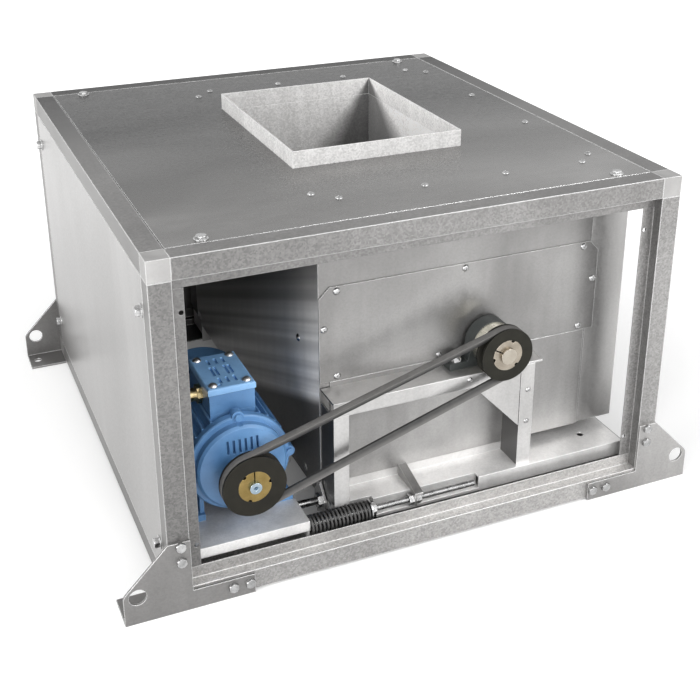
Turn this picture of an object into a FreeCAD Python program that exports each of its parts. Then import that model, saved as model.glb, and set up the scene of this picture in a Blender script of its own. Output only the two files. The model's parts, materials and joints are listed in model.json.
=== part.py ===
"""Belt-driven cabinet fan: profile frame, inner air chamber, double-inlet blower and a motor on a slide.

Frame: millimetres, +Z up, origin on the floor under the middle of the cabinet, front (drive side) towards -Y.
"""

import FreeCAD, Part
import math
import os

os.makedirs("parts", exist_ok=True)
Vec = FreeCAD.Vector
ALONG_X = Vec(1, 0, 0)
ALONG_Y = Vec(0, 1, 0)
ALONG_Z = Vec(0, 0, 1)

# Cabinet frame
cabinet_width = 640.0
cabinet_depth = 680.0
cabinet_height = 422.0
profile_side = 25.0
profile_wall = 1.5
lip_recess = 14.0
lip_width = 15.0
lip_sheet = 1.2
floor_ledge = 57.0
corner_plug_length = 18.0
corner_plug_clearance = 0.2

# Panels and their screws
panel_sheet = 1.0
panel_gap = 1.0
panel_screw_inset = 11.0
side_screw_height = 68.0
top_screw_side = 67.0
panel_screw_radius = 2.4
panel_screw_head = 5.5
panel_screw_head_height = 3.0
panel_washer_radius = 8.0
panel_washer_height = 1.2
screw_clearance = 0.3

# Lifting brackets
bracket_sheet = 3.0
bracket_reach = 53.0
bracket_edge_height = 38.0
bracket_top = 92.0
bracket_arm_length = 97.0
bracket_arm_height = 25.0
bracket_corner_radius = 12.0
foot_length = 46.0
foot_hole_radius = 5.5
foot_hole_inset = 12.0
foot_hole_back = 24.0
lifting_hole_radius = 10.0
lifting_hole_inset = 16.0
lifting_hole_height = 35.0
bracket_bolt_radius = 3.0
bracket_bolt_head = 5.5
bracket_bolt_head_height = 4.2
bracket_bolt_inset = 14.0
bracket_bolt_heights = (67.0, 87.0)
bracket_bolt_run = 71.0
bracket_bolt_pitch = 20.0
bracket_bolt_low = 15.0

# Air chamber
motor_bay_width = 183.0
drive_bay_depth = 73.0
chamber_sheet = 1.5
chamber_end_gap = 1.0
strip_width = 52.0
strip_overlap = 20.0
strip_top_gap = 2.0
wall_opening_margin = 24.0
skirt_drop = 8.0
skirt_hole_radius = 5.0
skirt_hole_back = 52.0
skirt_hole_drop = 6.0
top_frame_border = 54.0
top_frame_gap = 1.0

# Access plates on the chamber front
access_sheet = 1.5
access_overhang = 10.0
access_screw_inset = 6.0
access_corner_inset = 22.0
access_chamfer = 13.0
access_top_height = 120.5
access_lower_inset = 13.0
access_joint_gap = 0.5
access_joint_rise = 6.5

# Dome screws of the top panel and the access plates
dome_screw_radius = 2.0
dome_screw_head = 4.6
dome_screw_head_height = 2.8
dome_screw_reach = 3.0
dome_inset = 18.0
dome_corner_step = 24.0

# Blower
shaft_offset = 215.6
scroll_first_radius = 97.0
scroll_step = 38.4
scroll_sheet = 1.2
tongue_angle = 45.0
tongue_height = 105.0
outlet_width = 226.0
outlet_depth = 286.0
outlet_shift = 10.0
collar_height = 21.0
collar_flange = 14.0
inlet_radius = 76.0
cone_flange = 12.0
cone_depth = 14.0
cone_throat = 70.0
impeller_radius = 88.0
impeller_half_width = 121.0
ring_inner = 72.0
ring_sheet = 1.5
disc_sheet = 2.0
hub_radius = 24.0
hub_length = 60.0
blade_count = 24
blade_inner = 73.2
blade_arc_radius = 11.0
blade_sheet = 1.0

# Fan shaft, bearings and pedestals
fan_shaft_radius = 10.0
pedestal_depth = 39.5
pedestal_sheet = 2.0
upright_flange = 19.0
upright_spacing = 247.8
upright_setback = 1.0
shelf_height = 196.5
shelf_sheet = 2.5
shelf_overhang = 29.0
shelf_flange = 18.0
gusset_width = 64.0
gusset_drop = 68.0
gusset_gap = 1.0
channel_height = 52.5
channel_depth = 59.0
channel_lead = 5.0
channel_flange = 20.0
channel_end_gap = 3.0
channel_notch_end = 191.0
channel_notch_depth = 12.0
channel_hole_radius = 4.5
channel_hole_inset = 45.0
upstand_height = 12.0
bearing_centre_height = 27.3
housing_radius = 28.0
housing_length = 18.0
housing_gap = 4.0
housing_foot_half = 57.0
housing_foot_height = 9.0
housing_flare = 8.0
housing_bolt_reach = 46.5
housing_bolt_radius = 5.0
housing_bolt_head = 8.0
housing_bolt_head_height = 6.0
bearing_outer_radius = 23.5
bearing_outer_wall = 3.2
bearing_inner_wall = 4.0
bearing_length = 14.0
bearing_ball_count = 8
ball_clearance = 0.3
cover_ring_radius = 27.0
cover_ring_length = 14.0
shaft_clearance = 0.6
shaft_hole_clearance = 4.0

# Belt drive
belt_offset = 11.0
belt_top_width = 9.7
belt_height = 8.0
belt_above_pitch = 2.0
belt_half_angle = 19.0
belt_clearance = 0.3
fan_pitch_radius = 31.5
motor_pitch_radius = 35.5
pulley_width = 16.0
groove_extra_depth = 2.0
bush_radius = 19.2
bush_taper = 1.6
bush_length = 22.0
bush_slit = 1.6
bush_notch_radius = 2.6
bush_notch_depth = 12.2
shaft_end_reach = 4.0

# Motor
motor_offset = 81.3
motor_shaft_height = 71.0
motor_shaft_radius = 7.0
motor_seat_radius = 7.5
motor_core_shaft_radius = 10.0
motor_running_clearance = 0.05
motor_shoulder = 30.0
shield_shaft_gap = 4.0
shaft_seal_gap = 1.0
centre_hole_radius = 2.6
centre_hole_tip = 0.4
centre_hole_depth = 5.0
foot_hole_distance = 45.0
foot_hole_length = 90.0
foot_hole_half = 56.0
foot_half_width = 65.0
foot_bar_width = 22.0
foot_bar_height = 8.0
foot_web = 5.0
foot_end_margin = 12.0
foot_bolt_radius = 3.5
foot_bolt_head = 6.0
foot_bolt_head_height = 4.6
shield_radius = 61.0
shield_hub_radius = 22.0
shield_hub_length = 12.0
shield_dome_length = 12.0
shield_dome_radius = 54.0
shield_dome_edge = 3.0
shield_rim_edge = 1.5
shield_lip_length = 10.0
shield_wall = 5.0
shield_hub_step = 4.0
shield_lip_rebate = 3.0
shield_slot_count = 6
shield_slot_width = 3.0
shield_slot_pitch = 7.0
shield_slot_height = 16.0
shield_slot_depth = 3.0
shield_slot_rise = 23.0
ear_angles = (0, 90, 180, 270)
ear_radius = 7.0
ear_reach = 60.0
ear_bolt_radius = 2.5
ear_bolt_head = 4.0
ear_bolt_head_height = 3.0
barrel_radius = 54.0
barrel_wall = 8.0
barrel_length = 118.0
fin_radius = 62.0
fin_sheet = 2.2
fin_step = 11.25
rear_shield_length = 14.0
rear_shield_rebate = 4.0
cowl_step = 1.0
cowl_radius = 63.0
cowl_sheet = 1.2
cowl_length = 46.0
cowl_overlap = 10.0
cowl_collar_back = 6.0
cowl_collar_length = 4.0
cowl_slot_count = 12
cowl_slot_inner = 18.0
cowl_slot_outer = 50.0
cowl_slot_width = 4.0
cooling_fan_radius = 54.0
cooling_fan_hub = 14.0
cooling_fan_length = 20.0
cooling_fan_blades = 8
cooling_fan_sheet = 2.0
cooling_fan_gap = 5.0
stator_inner_radius = 32.0
stator_length = 74.0
winding_radius = 43.0
winding_length = 11.0
rotor_gap = 0.4
motor_bearing_radius = 17.5
motor_bearing_length = 11.0
motor_bearing_wall = 4.0
motor_bearing_stop = 3.0
terminal_width = 54.0
terminal_length = 80.0
terminal_low = 58.0
terminal_top = 83.0
terminal_back = 9.0
terminal_wall = 3.0
lid_margin = 1.5
lid_height = 8.0
lid_round = 2.5
lid_groove_count = 3
lid_groove_width = 3.2
lid_groove_depth = 3.0
lid_groove_pitch = 9.0
lid_groove_inset = 10.0
lid_groove_length = 13.0
lid_middle_length = 22.0
lid_middle_offsets = (-11.0, -6.0, 6.0, 11.0)
lid_recess_radius = 2.4
lid_recess_inset = 15.0
lid_screw_radius = 2.0
lid_screw_head = 5.5
lid_screw_head_height = 3.8
lid_screw_inset = 7.0
gland_radius = 8.0
gland_rise = 10.0
gland_back = 37.0
gland_length = 20.0
gland_nut_radius = 10.0
gland_nut_length = 6.0
gland_bore = 4.0

# Motor slide and belt tensioner
tray_width = 135.0
tray_sheet = 2.5
tray_flange = 13.0
tray_back_margin = 42.0
lug_drop = 25.0
lug_depth = 68.0
slide_clearance = 0.3
rod_radius = 4.0
rod_drop = 8.0
rod_forward = 3.0
rod_flange_gap = 1.0
rod_reach = 84.0
guide_rod_radius = 5.0
guide_rod_spacing = 42.0
rod_plate_gap = 5.0
rod_plate_sheet = 3.0
rod_plate_margin = 10.0
thin_nut_height = 4.0
nut_height = 6.5
nut_flats = 13.0
guide_nut_flats = 16.0
nut_bore_clearance = 0.05
washer_height = 1.5
spring_length = 78.0
spring_outer = 24.0
spring_wire = 3.0
spring_turns = 12
anchor_sheet = 3.0
anchor_offset = 102.0
anchor_rise = 15.0
anchor_front = 7.0
anchor_flange = 11.0
anchor_front_rise = 10.0
rod_slot_gap = 1.0
spring_room_gap = 1.0
guide_bracket_sheet = 3.0
guide_bracket_half = 17.0
guide_bracket_rise = 26.0
guide_bracket_shoulder = 6.8
slide_rail_width = 30.0
slide_rail_sheet = 2.0
slide_rail_inset = 5.0
slide_rail_end_gap = 2.0
bearer_sheet = 3.0
bearer_flange = 20.0
bearer_inset = 62.0
bearer_right_inset = 60.0
bearer_end_drop = 13.0
bearer_clearance = 1.0
bearer_end_length = 16.0
bearer_end_gap = 3.0

# Places worked out from the sizes
base = bracket_sheet
x_out = cabinet_width / 2
y_out = cabinet_depth / 2
z_low = base
z_top = base + cabinet_height
x_in = x_out - profile_side
y_in = y_out - profile_side
z_low_in = z_low + profile_side
z_top_in = z_top - profile_side
x_lip = x_out - lip_recess
y_lip = y_out - lip_recess
lip_floor = z_low + lip_recess
skin_under = z_top - panel_sheet

chamber_left = -x_in + motor_bay_width
chamber_right = x_lip - lip_sheet - chamber_end_gap
chamber_front = -y_out + drive_bay_depth
chamber_rear = -chamber_front
wall_right = chamber_right - strip_width
access_right = wall_right + access_overhang
top_frame_right = x_in - lip_width - top_frame_gap
channel_top = base + channel_height
chamber_bottom = channel_top + upstand_height
chamber_top = skin_under - chamber_sheet
strip_top = z_top_in - lip_width - strip_top_gap
access_front = chamber_front - access_sheet
pedestal_front = access_front - pedestal_depth
channel_front = pedestal_front - channel_lead
channel_back = pedestal_front + channel_depth
housing_middle = access_front - housing_gap - housing_length / 2

shaft_x = chamber_left + shaft_offset
shelf_top = base + shelf_height
shaft_z = shelf_top + bearing_centre_height
access_joint = shelf_top + access_joint_rise
access_top = access_joint + access_top_height + access_joint_gap

outlet_left = shaft_x - scroll_first_radius - 2.5 * scroll_step
outlet_right = outlet_left + outlet_width
outlet_front = outlet_shift - outlet_depth / 2
outlet_rear = outlet_shift + outlet_depth / 2
collar_top = z_top + collar_height

belt_y = pedestal_front - belt_offset
pulley_front = belt_y - pulley_width / 2
pulley_back = belt_y + pulley_width / 2
shaft_front = pulley_front - shaft_end_reach

tray_top = channel_top + tray_sheet
motor_x = -x_in + motor_offset
motor_z = tray_top + motor_shaft_height
shoulder_y = shaft_front + motor_shoulder
shield_front = shoulder_y + shield_shaft_gap
shield_back = shield_front + shield_hub_length + shield_dome_length + shield_lip_length
barrel_back = shield_back + barrel_length
rear_shield_back = barrel_back + rear_shield_length
cowl_front = rear_shield_back - cowl_overlap
cowl_back = cowl_front + cowl_length
foot_hole_front = shoulder_y + foot_hole_distance
foot_hole_rear = foot_hole_front + foot_hole_length
terminal_front = shield_back + terminal_back
lid_top = motor_z + terminal_top + lid_height

rod_y = pedestal_front - rod_forward
rod_z = channel_top - rod_drop
guide_rod_y = rod_y + guide_rod_spacing
tray_left = motor_x - tray_width / 2
tray_right = motor_x + tray_width / 2
tray_front = rod_y - rod_radius - rod_flange_gap - tray_sheet
tray_back = foot_hole_rear + tray_back_margin
rod_plate_left = -x_in + rod_plate_gap
spring_start = tray_right
spring_end = spring_start + spring_length
anchor_left = chamber_left + anchor_offset
rod_end = anchor_left + rod_reach
rod_slot_back = rod_y + anchor_front + rod_slot_gap
bearer_places = (chamber_left + bearer_inset, x_in - bearer_right_inset)


def box(x0, x1, y0, y1, z0, z1):
    """Box between two corners given in any order."""
    corner = Vec(min(x0, x1), min(y0, y1), min(z0, z1))
    return Part.makeBox(abs(x1 - x0), abs(y1 - y0), abs(z1 - z0), corner)


def cylinder(radius, start, direction, length):
    return Part.makeCylinder(radius, length, start, direction)


def ring(outer, inner, start, direction, length):
    return cylinder(outer, start, direction, length).cut(cylinder(inner, start, direction, length))


def fuse(first, *others):
    return first.fuse(list(others)).removeSplitter() if others else first


def cut(first, *others):
    return first.cut(list(others)) if others else first


def plate_xz(points, y0, y1):
    """Plate with an XZ outline, between two Y planes."""
    wire = Part.makePolygon([Vec(x, y0, z) for x, z in points + points[:1]])
    return Part.Face(wire).extrude(Vec(0, y1 - y0, 0))


def plate_yz(points, x0, x1):
    """Plate with a YZ outline, between two X planes."""
    wire = Part.makePolygon([Vec(x0, y, z) for y, z in points + points[:1]])
    return Part.Face(wire).extrude(Vec(x1 - x0, 0, 0))


def turned(points, x, z):
    """Solid turned about an axis along Y through (x, z), from (radius, y) points."""
    wire = Part.makePolygon([Vec(x + radius, y, z) for radius, y in points + points[:1]])
    return Part.Face(wire).revolve(Vec(x, 0, z), ALONG_Y, 360)


def hex_prism(flats, start, direction, length):
    """Hexagon prism, two of its flats square to Z where the axis allows it."""
    corner = flats / math.sqrt(3)
    across = ALONG_Z if abs(direction.z) < 0.5 else ALONG_X
    side = direction.cross(across)
    points = []
    for step in range(7):
        angle = math.radians(60 * step)
        points.append(start + side * (corner * math.cos(angle)) + across * (corner * math.sin(angle)))
    return Part.Face(Part.makePolygon(points)).extrude(direction * length)


def dome(radius, height, start, direction):
    """Screw head: a low dome standing on the point start."""
    sphere_radius = (radius * radius + height * height) / (2 * height)
    centre = start - direction * (sphere_radius - height)
    return Part.makeSphere(sphere_radius, centre).common(cylinder(radius, start, direction, height))


def mirrored(shape, normal):
    return shape.mirror(Vec(0, 0, 0), normal)


def save(name, *shapes):
    """Writes one node. Several shapes become a group of separate solids."""
    solids = [solid for shape in shapes for solid in shape.Solids]
    result = solids[0] if len(solids) == 1 else Part.makeCompound(solids)
    result.exportStep("parts/" + name + ".step")


# Places of the fasteners, used by the holes and by the screws

side_screw_places = [
    (sy * (y_in - panel_screw_inset), z)
    for sy in (-1, 1)
    for z in (z_low + side_screw_height, z_top - side_screw_height)
]
top_screw_places = [
    (sx * (x_out - top_screw_side), sy * (y_in - panel_screw_inset)) for sx in (-1, 1) for sy in (-1, 1)
]
rear_screw_places = [
    (sx * (x_in - panel_screw_inset), z)
    for sx in (-1, 1)
    for z in (z_low + side_screw_height, z_top - side_screw_height)
]
bracket_bolt_places = [(-x_out + bracket_bolt_inset, z) for z in bracket_bolt_heights] + [
    (-x_out + bracket_bolt_run + step * bracket_bolt_pitch, bracket_bolt_low) for step in (0, 1)
]
foot_hole_places = [
    (motor_x + way * foot_hole_half, y) for way in (-1, 1) for y in (foot_hole_front, foot_hole_rear)
]
lid_screw_places = [
    (motor_x + way * (terminal_width / 2 - lid_screw_inset), y)
    for way in (-1, 1)
    for y in (terminal_front + lid_screw_inset, terminal_front + terminal_length - lid_screw_inset)
]


def dome_screw_places():
    """Rows of screws round the chamber top: front, rear and right, with a step at each corner."""
    left = chamber_left + dome_inset - dome_corner_step / 3
    right = (wall_right + top_frame_right) / 2
    front = chamber_front + dome_inset
    places = []
    for side in (-1, 1):
        y = side * -front
        run = right - dome_corner_step - (left + dome_corner_step)
        places += [(left + dome_corner_step + run * share / 3, y) for share in range(4)]
        places.append((left, y - side * dome_corner_step))
    span = -2 * (front + dome_corner_step)
    places += [(right, front + dome_corner_step + span * share / 3) for share in range(4)]
    return places


def access_screw_places():
    """Screws of the upper access plate, on its top edge, its sides and its lower corners."""
    left = chamber_left + access_corner_inset
    right = access_right - access_corner_inset
    high = access_top - access_screw_inset
    side = (access_top + access_joint) / 2 + dome_inset / 2
    low = access_joint + access_joint_gap + access_screw_inset
    return [
        (left, high),
        ((left + right) / 2, high),
        (right, high),
        (chamber_left + access_screw_inset, side),
        (access_right - access_screw_inset, side),
        (left, low),
        (right, low),
    ]


def rails_along_x(sy):
    """Bottom and top rail of the front or rear, hollow, each with a lip round both of its open sides."""
    rails = []
    for z_in, z_edge, way in ((z_low_in, z_low, 1), (z_top_in, z_top, -1)):
        outer = box(-x_in, x_in, sy * y_in, sy * y_out, z_in, z_edge)
        inner = box(
            -x_in, x_in, sy * (y_in + profile_wall), sy * (y_out - profile_wall),
            z_in - way * profile_wall, z_edge + way * profile_wall,
        )
        face_lip = box(-x_in, x_in, sy * y_lip, sy * (y_lip - lip_sheet), z_in, z_in + way * lip_width)
        level = z_edge + way * lip_recess
        flat_lip = box(-x_in, x_in, sy * y_in, sy * (y_in - lip_width), level, level + way * lip_sheet)
        rails.append(fuse(outer.cut(inner), face_lip, flat_lip))
    ledge_end = x_in - lip_width
    ledge = box(
        -ledge_end, ledge_end, sy * y_in, sy * (y_in - floor_ledge), lip_floor, lip_floor + lip_sheet,
    )
    rails[0] = fuse(rails[0], ledge)
    bolt_hole = bracket_bolt_radius + screw_clearance
    bolt_holes = [
        cylinder(bolt_hole, Vec(sx * x, sy * (y_out + 1), z), ALONG_Y * -sy, 6)
        for x, z in bracket_bolt_places[2:]
        for sx in (-1, 1)
    ]
    screw_hole = panel_screw_radius + screw_clearance
    screw_holes = [
        cylinder(screw_hole, Vec(x, y, z_top - lip_recess + 2), -ALONG_Z, lip_sheet + 4)
        for x, y in top_screw_places
    ]
    return cut(rails[0], *bolt_holes), cut(rails[1], *screw_holes)


def rails_along_y(sx):
    """Bottom and top rail of the left or right side; the flat lip stops short of the other rails' lips."""
    rails = []
    reach = y_in - lip_width
    for z_in, z_edge, way in ((z_low_in, z_low, 1), (z_top_in, z_top, -1)):
        outer = box(sx * x_in, sx * x_out, -y_in, y_in, z_in, z_edge)
        inner = box(
            sx * (x_in + profile_wall), sx * (x_out - profile_wall), -y_in, y_in,
            z_in - way * profile_wall, z_edge + way * profile_wall,
        )
        face_lip = box(sx * x_lip, sx * (x_lip - lip_sheet), -y_in, y_in, z_in, z_in + way * lip_width)
        level = z_edge + way * lip_recess
        flat_lip = box(sx * x_in, sx * (x_in - lip_width), -reach, reach, level, level + way * lip_sheet)
        rails.append(fuse(outer.cut(inner), face_lip, flat_lip))
    return rails


def post(sx, sy):
    """Corner post with two lips, and the holes for the bracket bolts and the panel screws."""
    clear_z = (z_low_in, z_top_in)
    lip_z = (z_low_in + lip_width, z_top_in - lip_width)
    outer = box(sx * x_in, sx * x_out, sy * y_in, sy * y_out, *clear_z)
    inner = box(
        sx * (x_in + profile_wall), sx * (x_out - profile_wall),
        sy * (y_in + profile_wall), sy * (y_out - profile_wall), *clear_z,
    )
    face_lip = box(sx * x_in, sx * (x_in - lip_width), sy * y_lip, sy * (y_lip - lip_sheet), *lip_z)
    side_lip = box(sx * x_lip, sx * (x_lip - lip_sheet), sy * y_in, sy * (y_in - lip_width), *lip_z)
    bolt_hole = bracket_bolt_radius + screw_clearance
    screw_hole = panel_screw_radius + screw_clearance
    holes = [
        cylinder(bolt_hole, Vec(-sx * x, sy * (y_out + 1), z), ALONG_Y * -sy, 6)
        for x, z in bracket_bolt_places[:2]
    ]
    holes += [
        cylinder(screw_hole, Vec(sx * (x_lip + 2), y, z), ALONG_X * -sx, lip_sheet + 4)
        for y, z in side_screw_places
    ]
    holes += [
        cylinder(screw_hole, Vec(x, sy * (y_lip + 2), z), ALONG_Y * -sy, lip_sheet + 4)
        for x, z in rear_screw_places
    ]
    return cut(fuse(outer.cut(inner), face_lip, side_lip), *holes)


def corner_block(sx, sy, z_in, z_edge, way):
    """Corner cube with a plug into each of the three profiles that meet there."""
    margin = profile_wall + corner_plug_clearance
    x_span = (sx * (x_in + margin), sx * (x_out - margin))
    y_span = (sy * (y_in + margin), sy * (y_out - margin))
    z_span = (z_in - way * margin, z_edge + way * margin)
    return fuse(
        box(sx * x_in, sx * x_out, sy * y_in, sy * y_out, z_in, z_edge),
        box(sx * x_in, sx * (x_in - corner_plug_length), *y_span, *z_span),
        box(*x_span, sy * y_in, sy * (y_in - corner_plug_length), *z_span),
        box(*x_span, *y_span, z_in, z_in + way * corner_plug_length),
    )


def make_frame():
    """Twelve hollow profiles with lips for the panels, and eight corner blocks."""
    save("rails_front", *rails_along_x(-1))
    save("rails_rear", *rails_along_x(1))
    save("rails_left", *rails_along_y(-1))
    save("rails_right", *rails_along_y(1))
    corners = [(sx, sy) for sx in (-1, 1) for sy in (-1, 1)]
    save("posts", *[post(sx, sy) for sx, sy in corners])
    low = [corner_block(sx, sy, z_low_in, z_low, 1) for sx, sy in corners]
    high = [corner_block(sx, sy, z_top_in, z_top, -1) for sx, sy in corners]
    save("corner_blocks", *low, *high)


def make_panels():
    """Pan-shaped panels that rest on the lips, with their screws and washers."""
    y_edge = y_in - panel_gap
    x_edge = x_in - panel_gap
    low = z_low_in + panel_gap
    high = z_top_in - panel_gap
    hole = panel_screw_radius + screw_clearance

    pan = box(-x_out, -x_lip, -y_edge, y_edge, low, high)
    hollow = box(
        -x_out + panel_sheet, -x_lip, -y_edge + panel_sheet, y_edge - panel_sheet,
        low + panel_sheet, high - panel_sheet,
    )
    holes = [cylinder(hole, Vec(-x_out - 1, y, z), ALONG_X, 4) for y, z in side_screw_places]
    save("left_panel", cut(pan, hollow, *holes))

    pan = box(-x_edge, x_edge, y_lip, y_out, low, high)
    hollow = box(
        -x_edge + panel_sheet, x_edge - panel_sheet, y_lip, y_out - panel_sheet,
        low + panel_sheet, high - panel_sheet,
    )
    holes = [cylinder(hole, Vec(x, y_out + 1, z), -ALONG_Y, 4) for x, z in rear_screw_places]
    save("rear_panel", cut(pan, hollow, *holes))

    pan = box(-x_edge, x_edge, -y_edge, y_edge, z_top - lip_recess, z_top)
    hollow = box(
        -x_edge + panel_sheet, x_edge - panel_sheet, -y_edge + panel_sheet, y_edge - panel_sheet,
        z_top - lip_recess, skin_under,
    )
    outlet = box(
        outlet_left - screw_clearance, outlet_right + screw_clearance,
        outlet_front - screw_clearance, outlet_rear + screw_clearance, skin_under - 1, z_top + 1,
    )
    holes = [cylinder(hole, Vec(x, y, z_top + 1), -ALONG_Z, 4) for x, y in top_screw_places]
    dome_hole = dome_screw_radius + screw_clearance
    holes += [cylinder(dome_hole, Vec(x, y, z_top + 1), -ALONG_Z, 4) for x, y in dome_screw_places()]
    save("top_panel", cut(pan, hollow, outlet, *holes))

    screws = [panel_screw(Vec(-x_out, y, z), -ALONG_X) for y, z in side_screw_places]
    screws += [panel_screw(Vec(x, y_out, z), ALONG_Y) for x, z in rear_screw_places]
    screws += [panel_screw(Vec(x, y, z_top), ALONG_Z) for x, y in top_screw_places]
    save("panel_screws", *screws)

    screws = [
        dome_screw(Vec(x, y, z_top), ALONG_Z, panel_sheet + chamber_sheet) for x, y in dome_screw_places()
    ]
    screws += [
        dome_screw(Vec(x, access_front, z), -ALONG_Y, access_sheet + chamber_sheet)
        for x, z in access_screw_places()
    ]
    save("sheet_screws", *screws)


def dome_screw(start, outward, grip):
    """Sheet-metal screw with a dome head; the shank reaches a little past the sheets it grips."""
    shank = cylinder(dome_screw_radius, start, -outward, grip + dome_screw_reach)
    return fuse(dome(dome_screw_head, dome_screw_head_height, start, outward), shank)


def panel_screw(start, outward):
    """Hexagon screw with its washer; the shank reaches through the pan to the lip."""
    washer = cylinder(panel_washer_radius, start, outward, panel_washer_height)
    head_start = start + outward * panel_washer_height
    head = hex_prism(2 * panel_screw_head, head_start, outward, panel_screw_head_height)
    shank = cylinder(panel_screw_radius, start, -outward, lip_recess + lip_sheet + 3)
    return fuse(washer, head, shank)


def bracket_plate():
    """Left front lifting bracket: an upright plate with an ear, and a foot folded towards the back."""
    outer = -x_out - bracket_reach
    y0 = -y_out - bracket_sheet
    turn = bracket_corner_radius
    rise = bracket_top - bracket_edge_height
    slope = math.atan2(rise, bracket_reach)
    half_turn = (math.pi / 2 - slope) / 2
    cut_back = turn * math.tan(half_turn)
    low = Vec(outer, y0, bracket_edge_height - cut_back)
    high = Vec(outer + cut_back * math.cos(slope), y0, bracket_edge_height + cut_back * math.sin(slope))
    centre = Vec(outer + turn, y0, bracket_edge_height - cut_back)
    middle = centre + Vec(-math.cos(half_turn) * turn, 0, math.sin(half_turn) * turn)
    points = [
        Vec(-x_out, y0, bracket_top),
        Vec(-x_in, y0, bracket_top),
        Vec(-x_in, y0, bracket_arm_height),
        Vec(-x_out + bracket_arm_length, y0, bracket_arm_height),
        Vec(-x_out + bracket_arm_length, y0, 0),
        Vec(outer, y0, 0),
        low,
    ]
    edges = [Part.LineSegment(a, b).toShape() for a, b in zip(points, points[1:])]
    edges.append(Part.Arc(low, middle, high).toShape())
    edges.append(Part.LineSegment(high, points[0]).toShape())
    plate = Part.Face(Part.Wire(edges)).extrude(Vec(0, bracket_sheet, 0))
    foot = box(outer, -x_out, y0, y0 + foot_length, 0, bracket_sheet)
    eye_place = Vec(outer + lifting_hole_inset, y0 - 1, lifting_hole_height)
    eye = cylinder(lifting_hole_radius, eye_place, ALONG_Y, bracket_sheet + 2)
    floor_hole = cylinder(
        foot_hole_radius, Vec(outer + foot_hole_inset, y0 + foot_hole_back, -1), ALONG_Z, bracket_sheet + 2
    )
    hole = bracket_bolt_radius + screw_clearance
    holes = [cylinder(hole, Vec(x, y0 - 1, z), ALONG_Y, bracket_sheet + 2) for x, z in bracket_bolt_places]
    return cut(fuse(plate, foot), eye, floor_hole, *holes)


def bearing_bolts():
    """Foot bolts of the front bearing block."""
    bolts = []
    for way in (-1, 1):
        place = Vec(shaft_x + way * housing_bolt_reach, housing_middle, shelf_top + housing_foot_height)
        head = hex_prism(2 * housing_bolt_head, place, ALONG_Z, housing_bolt_head_height)
        grip = housing_foot_height + shelf_sheet + 3
        bolts.append(fuse(head, cylinder(housing_bolt_radius, place, -ALONG_Z, grip)))
    return bolts


def bracket_bolts():
    """Bolts of the left front bracket."""
    bolts = []
    for x, z in bracket_bolt_places:
        start = Vec(x, -y_out - bracket_sheet, z)
        head = hex_prism(2 * bracket_bolt_head, start, -ALONG_Y, bracket_bolt_head_height)
        shank = cylinder(bracket_bolt_radius, start, ALONG_Y, bracket_sheet + profile_wall + 6)
        bolts.append(fuse(head, shank))
    return bolts


def make_brackets():
    """Four brackets, mirrored from one."""
    front = [bracket_plate(), mirrored(bracket_plate(), ALONG_X)]
    save("lifting_brackets", *front, *[mirrored(plate, ALONG_Y) for plate in front])


def make_bolts():
    """Hexagon bolts of the brackets and of the bearing blocks."""
    bolts = bracket_bolts()
    bolts += [mirrored(bolt, ALONG_X) for bolt in bolts]
    bolts += bearing_bolts()
    save("hex_bolts", *bolts, *[mirrored(bolt, ALONG_Y) for bolt in bolts])


def make_chamber():
    """Air chamber round the blower, open to the right side of the cabinet, which is the air inlet."""
    sheet = chamber_sheet
    shaft_hole = fan_shaft_radius + shaft_hole_clearance
    screw_hole = dome_screw_radius + screw_clearance

    wall = box(chamber_left, wall_right, chamber_front, chamber_front + sheet, chamber_bottom, chamber_top)
    opening = box(
        chamber_left + wall_opening_margin, wall_right - wall_opening_margin,
        chamber_front - 1, chamber_front + sheet + 1,
        chamber_bottom + wall_opening_margin, access_top - wall_opening_margin,
    )
    through = [
        cylinder(screw_hole, Vec(x, access_front - 1, z), ALONG_Y, 8) for x, z in access_screw_places()
    ]
    save("chamber_front_wall", cut(wall, opening, *through))

    strip = box(
        wall_right - strip_overlap, chamber_right, chamber_front + sheet, chamber_front + 2 * sheet,
        chamber_bottom, strip_top,
    )
    rear_strip = mirrored(strip, ALONG_Y)
    save("chamber_strips", cut(strip, *through), rear_strip)

    rear = box(chamber_left, wall_right, chamber_rear - sheet, chamber_rear, chamber_bottom, chamber_top)
    bore = cylinder(shaft_hole, Vec(shaft_x, chamber_rear - sheet - 1, shaft_z), ALONG_Y, sheet + 2)
    save("chamber_rear_wall", cut(rear, bore))

    left = box(
        chamber_left, chamber_left + sheet, chamber_front + sheet, chamber_rear - sheet,
        channel_top - skirt_drop, chamber_top,
    )
    corners = [
        box(chamber_left - 1, chamber_left + sheet + 1, chamber_front, channel_back + 1, 0, chamber_bottom),
        box(chamber_left - 1, chamber_left + sheet + 1, chamber_rear, -channel_back - 1, 0, chamber_bottom),
    ]
    skirt_hole = cylinder(
        skirt_hole_radius,
        Vec(chamber_left - 1, chamber_front + skirt_hole_back, chamber_bottom - skirt_hole_drop),
        ALONG_X, sheet + 2,
    )
    save("chamber_left_wall", cut(left, skirt_hole, *corners))

    floor = box(
        chamber_left + sheet, chamber_right, chamber_front + 2 * sheet, chamber_rear - 2 * sheet,
        chamber_bottom, chamber_bottom + sheet,
    )
    save("chamber_floor", floor)

    frame = box(chamber_left, top_frame_right, chamber_front, chamber_rear, chamber_top, skin_under)
    gap = box(
        chamber_left - 1, wall_right, chamber_front + top_frame_border, chamber_rear - top_frame_border,
        chamber_top - 1, skin_under + 1,
    )
    holes = [cylinder(screw_hole, Vec(x, y, chamber_top - 1), ALONG_Z, 4) for x, y in dome_screw_places()]
    save("chamber_top_frame", cut(frame, gap, *holes))

    make_access_plates(shaft_hole, screw_hole)


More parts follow.
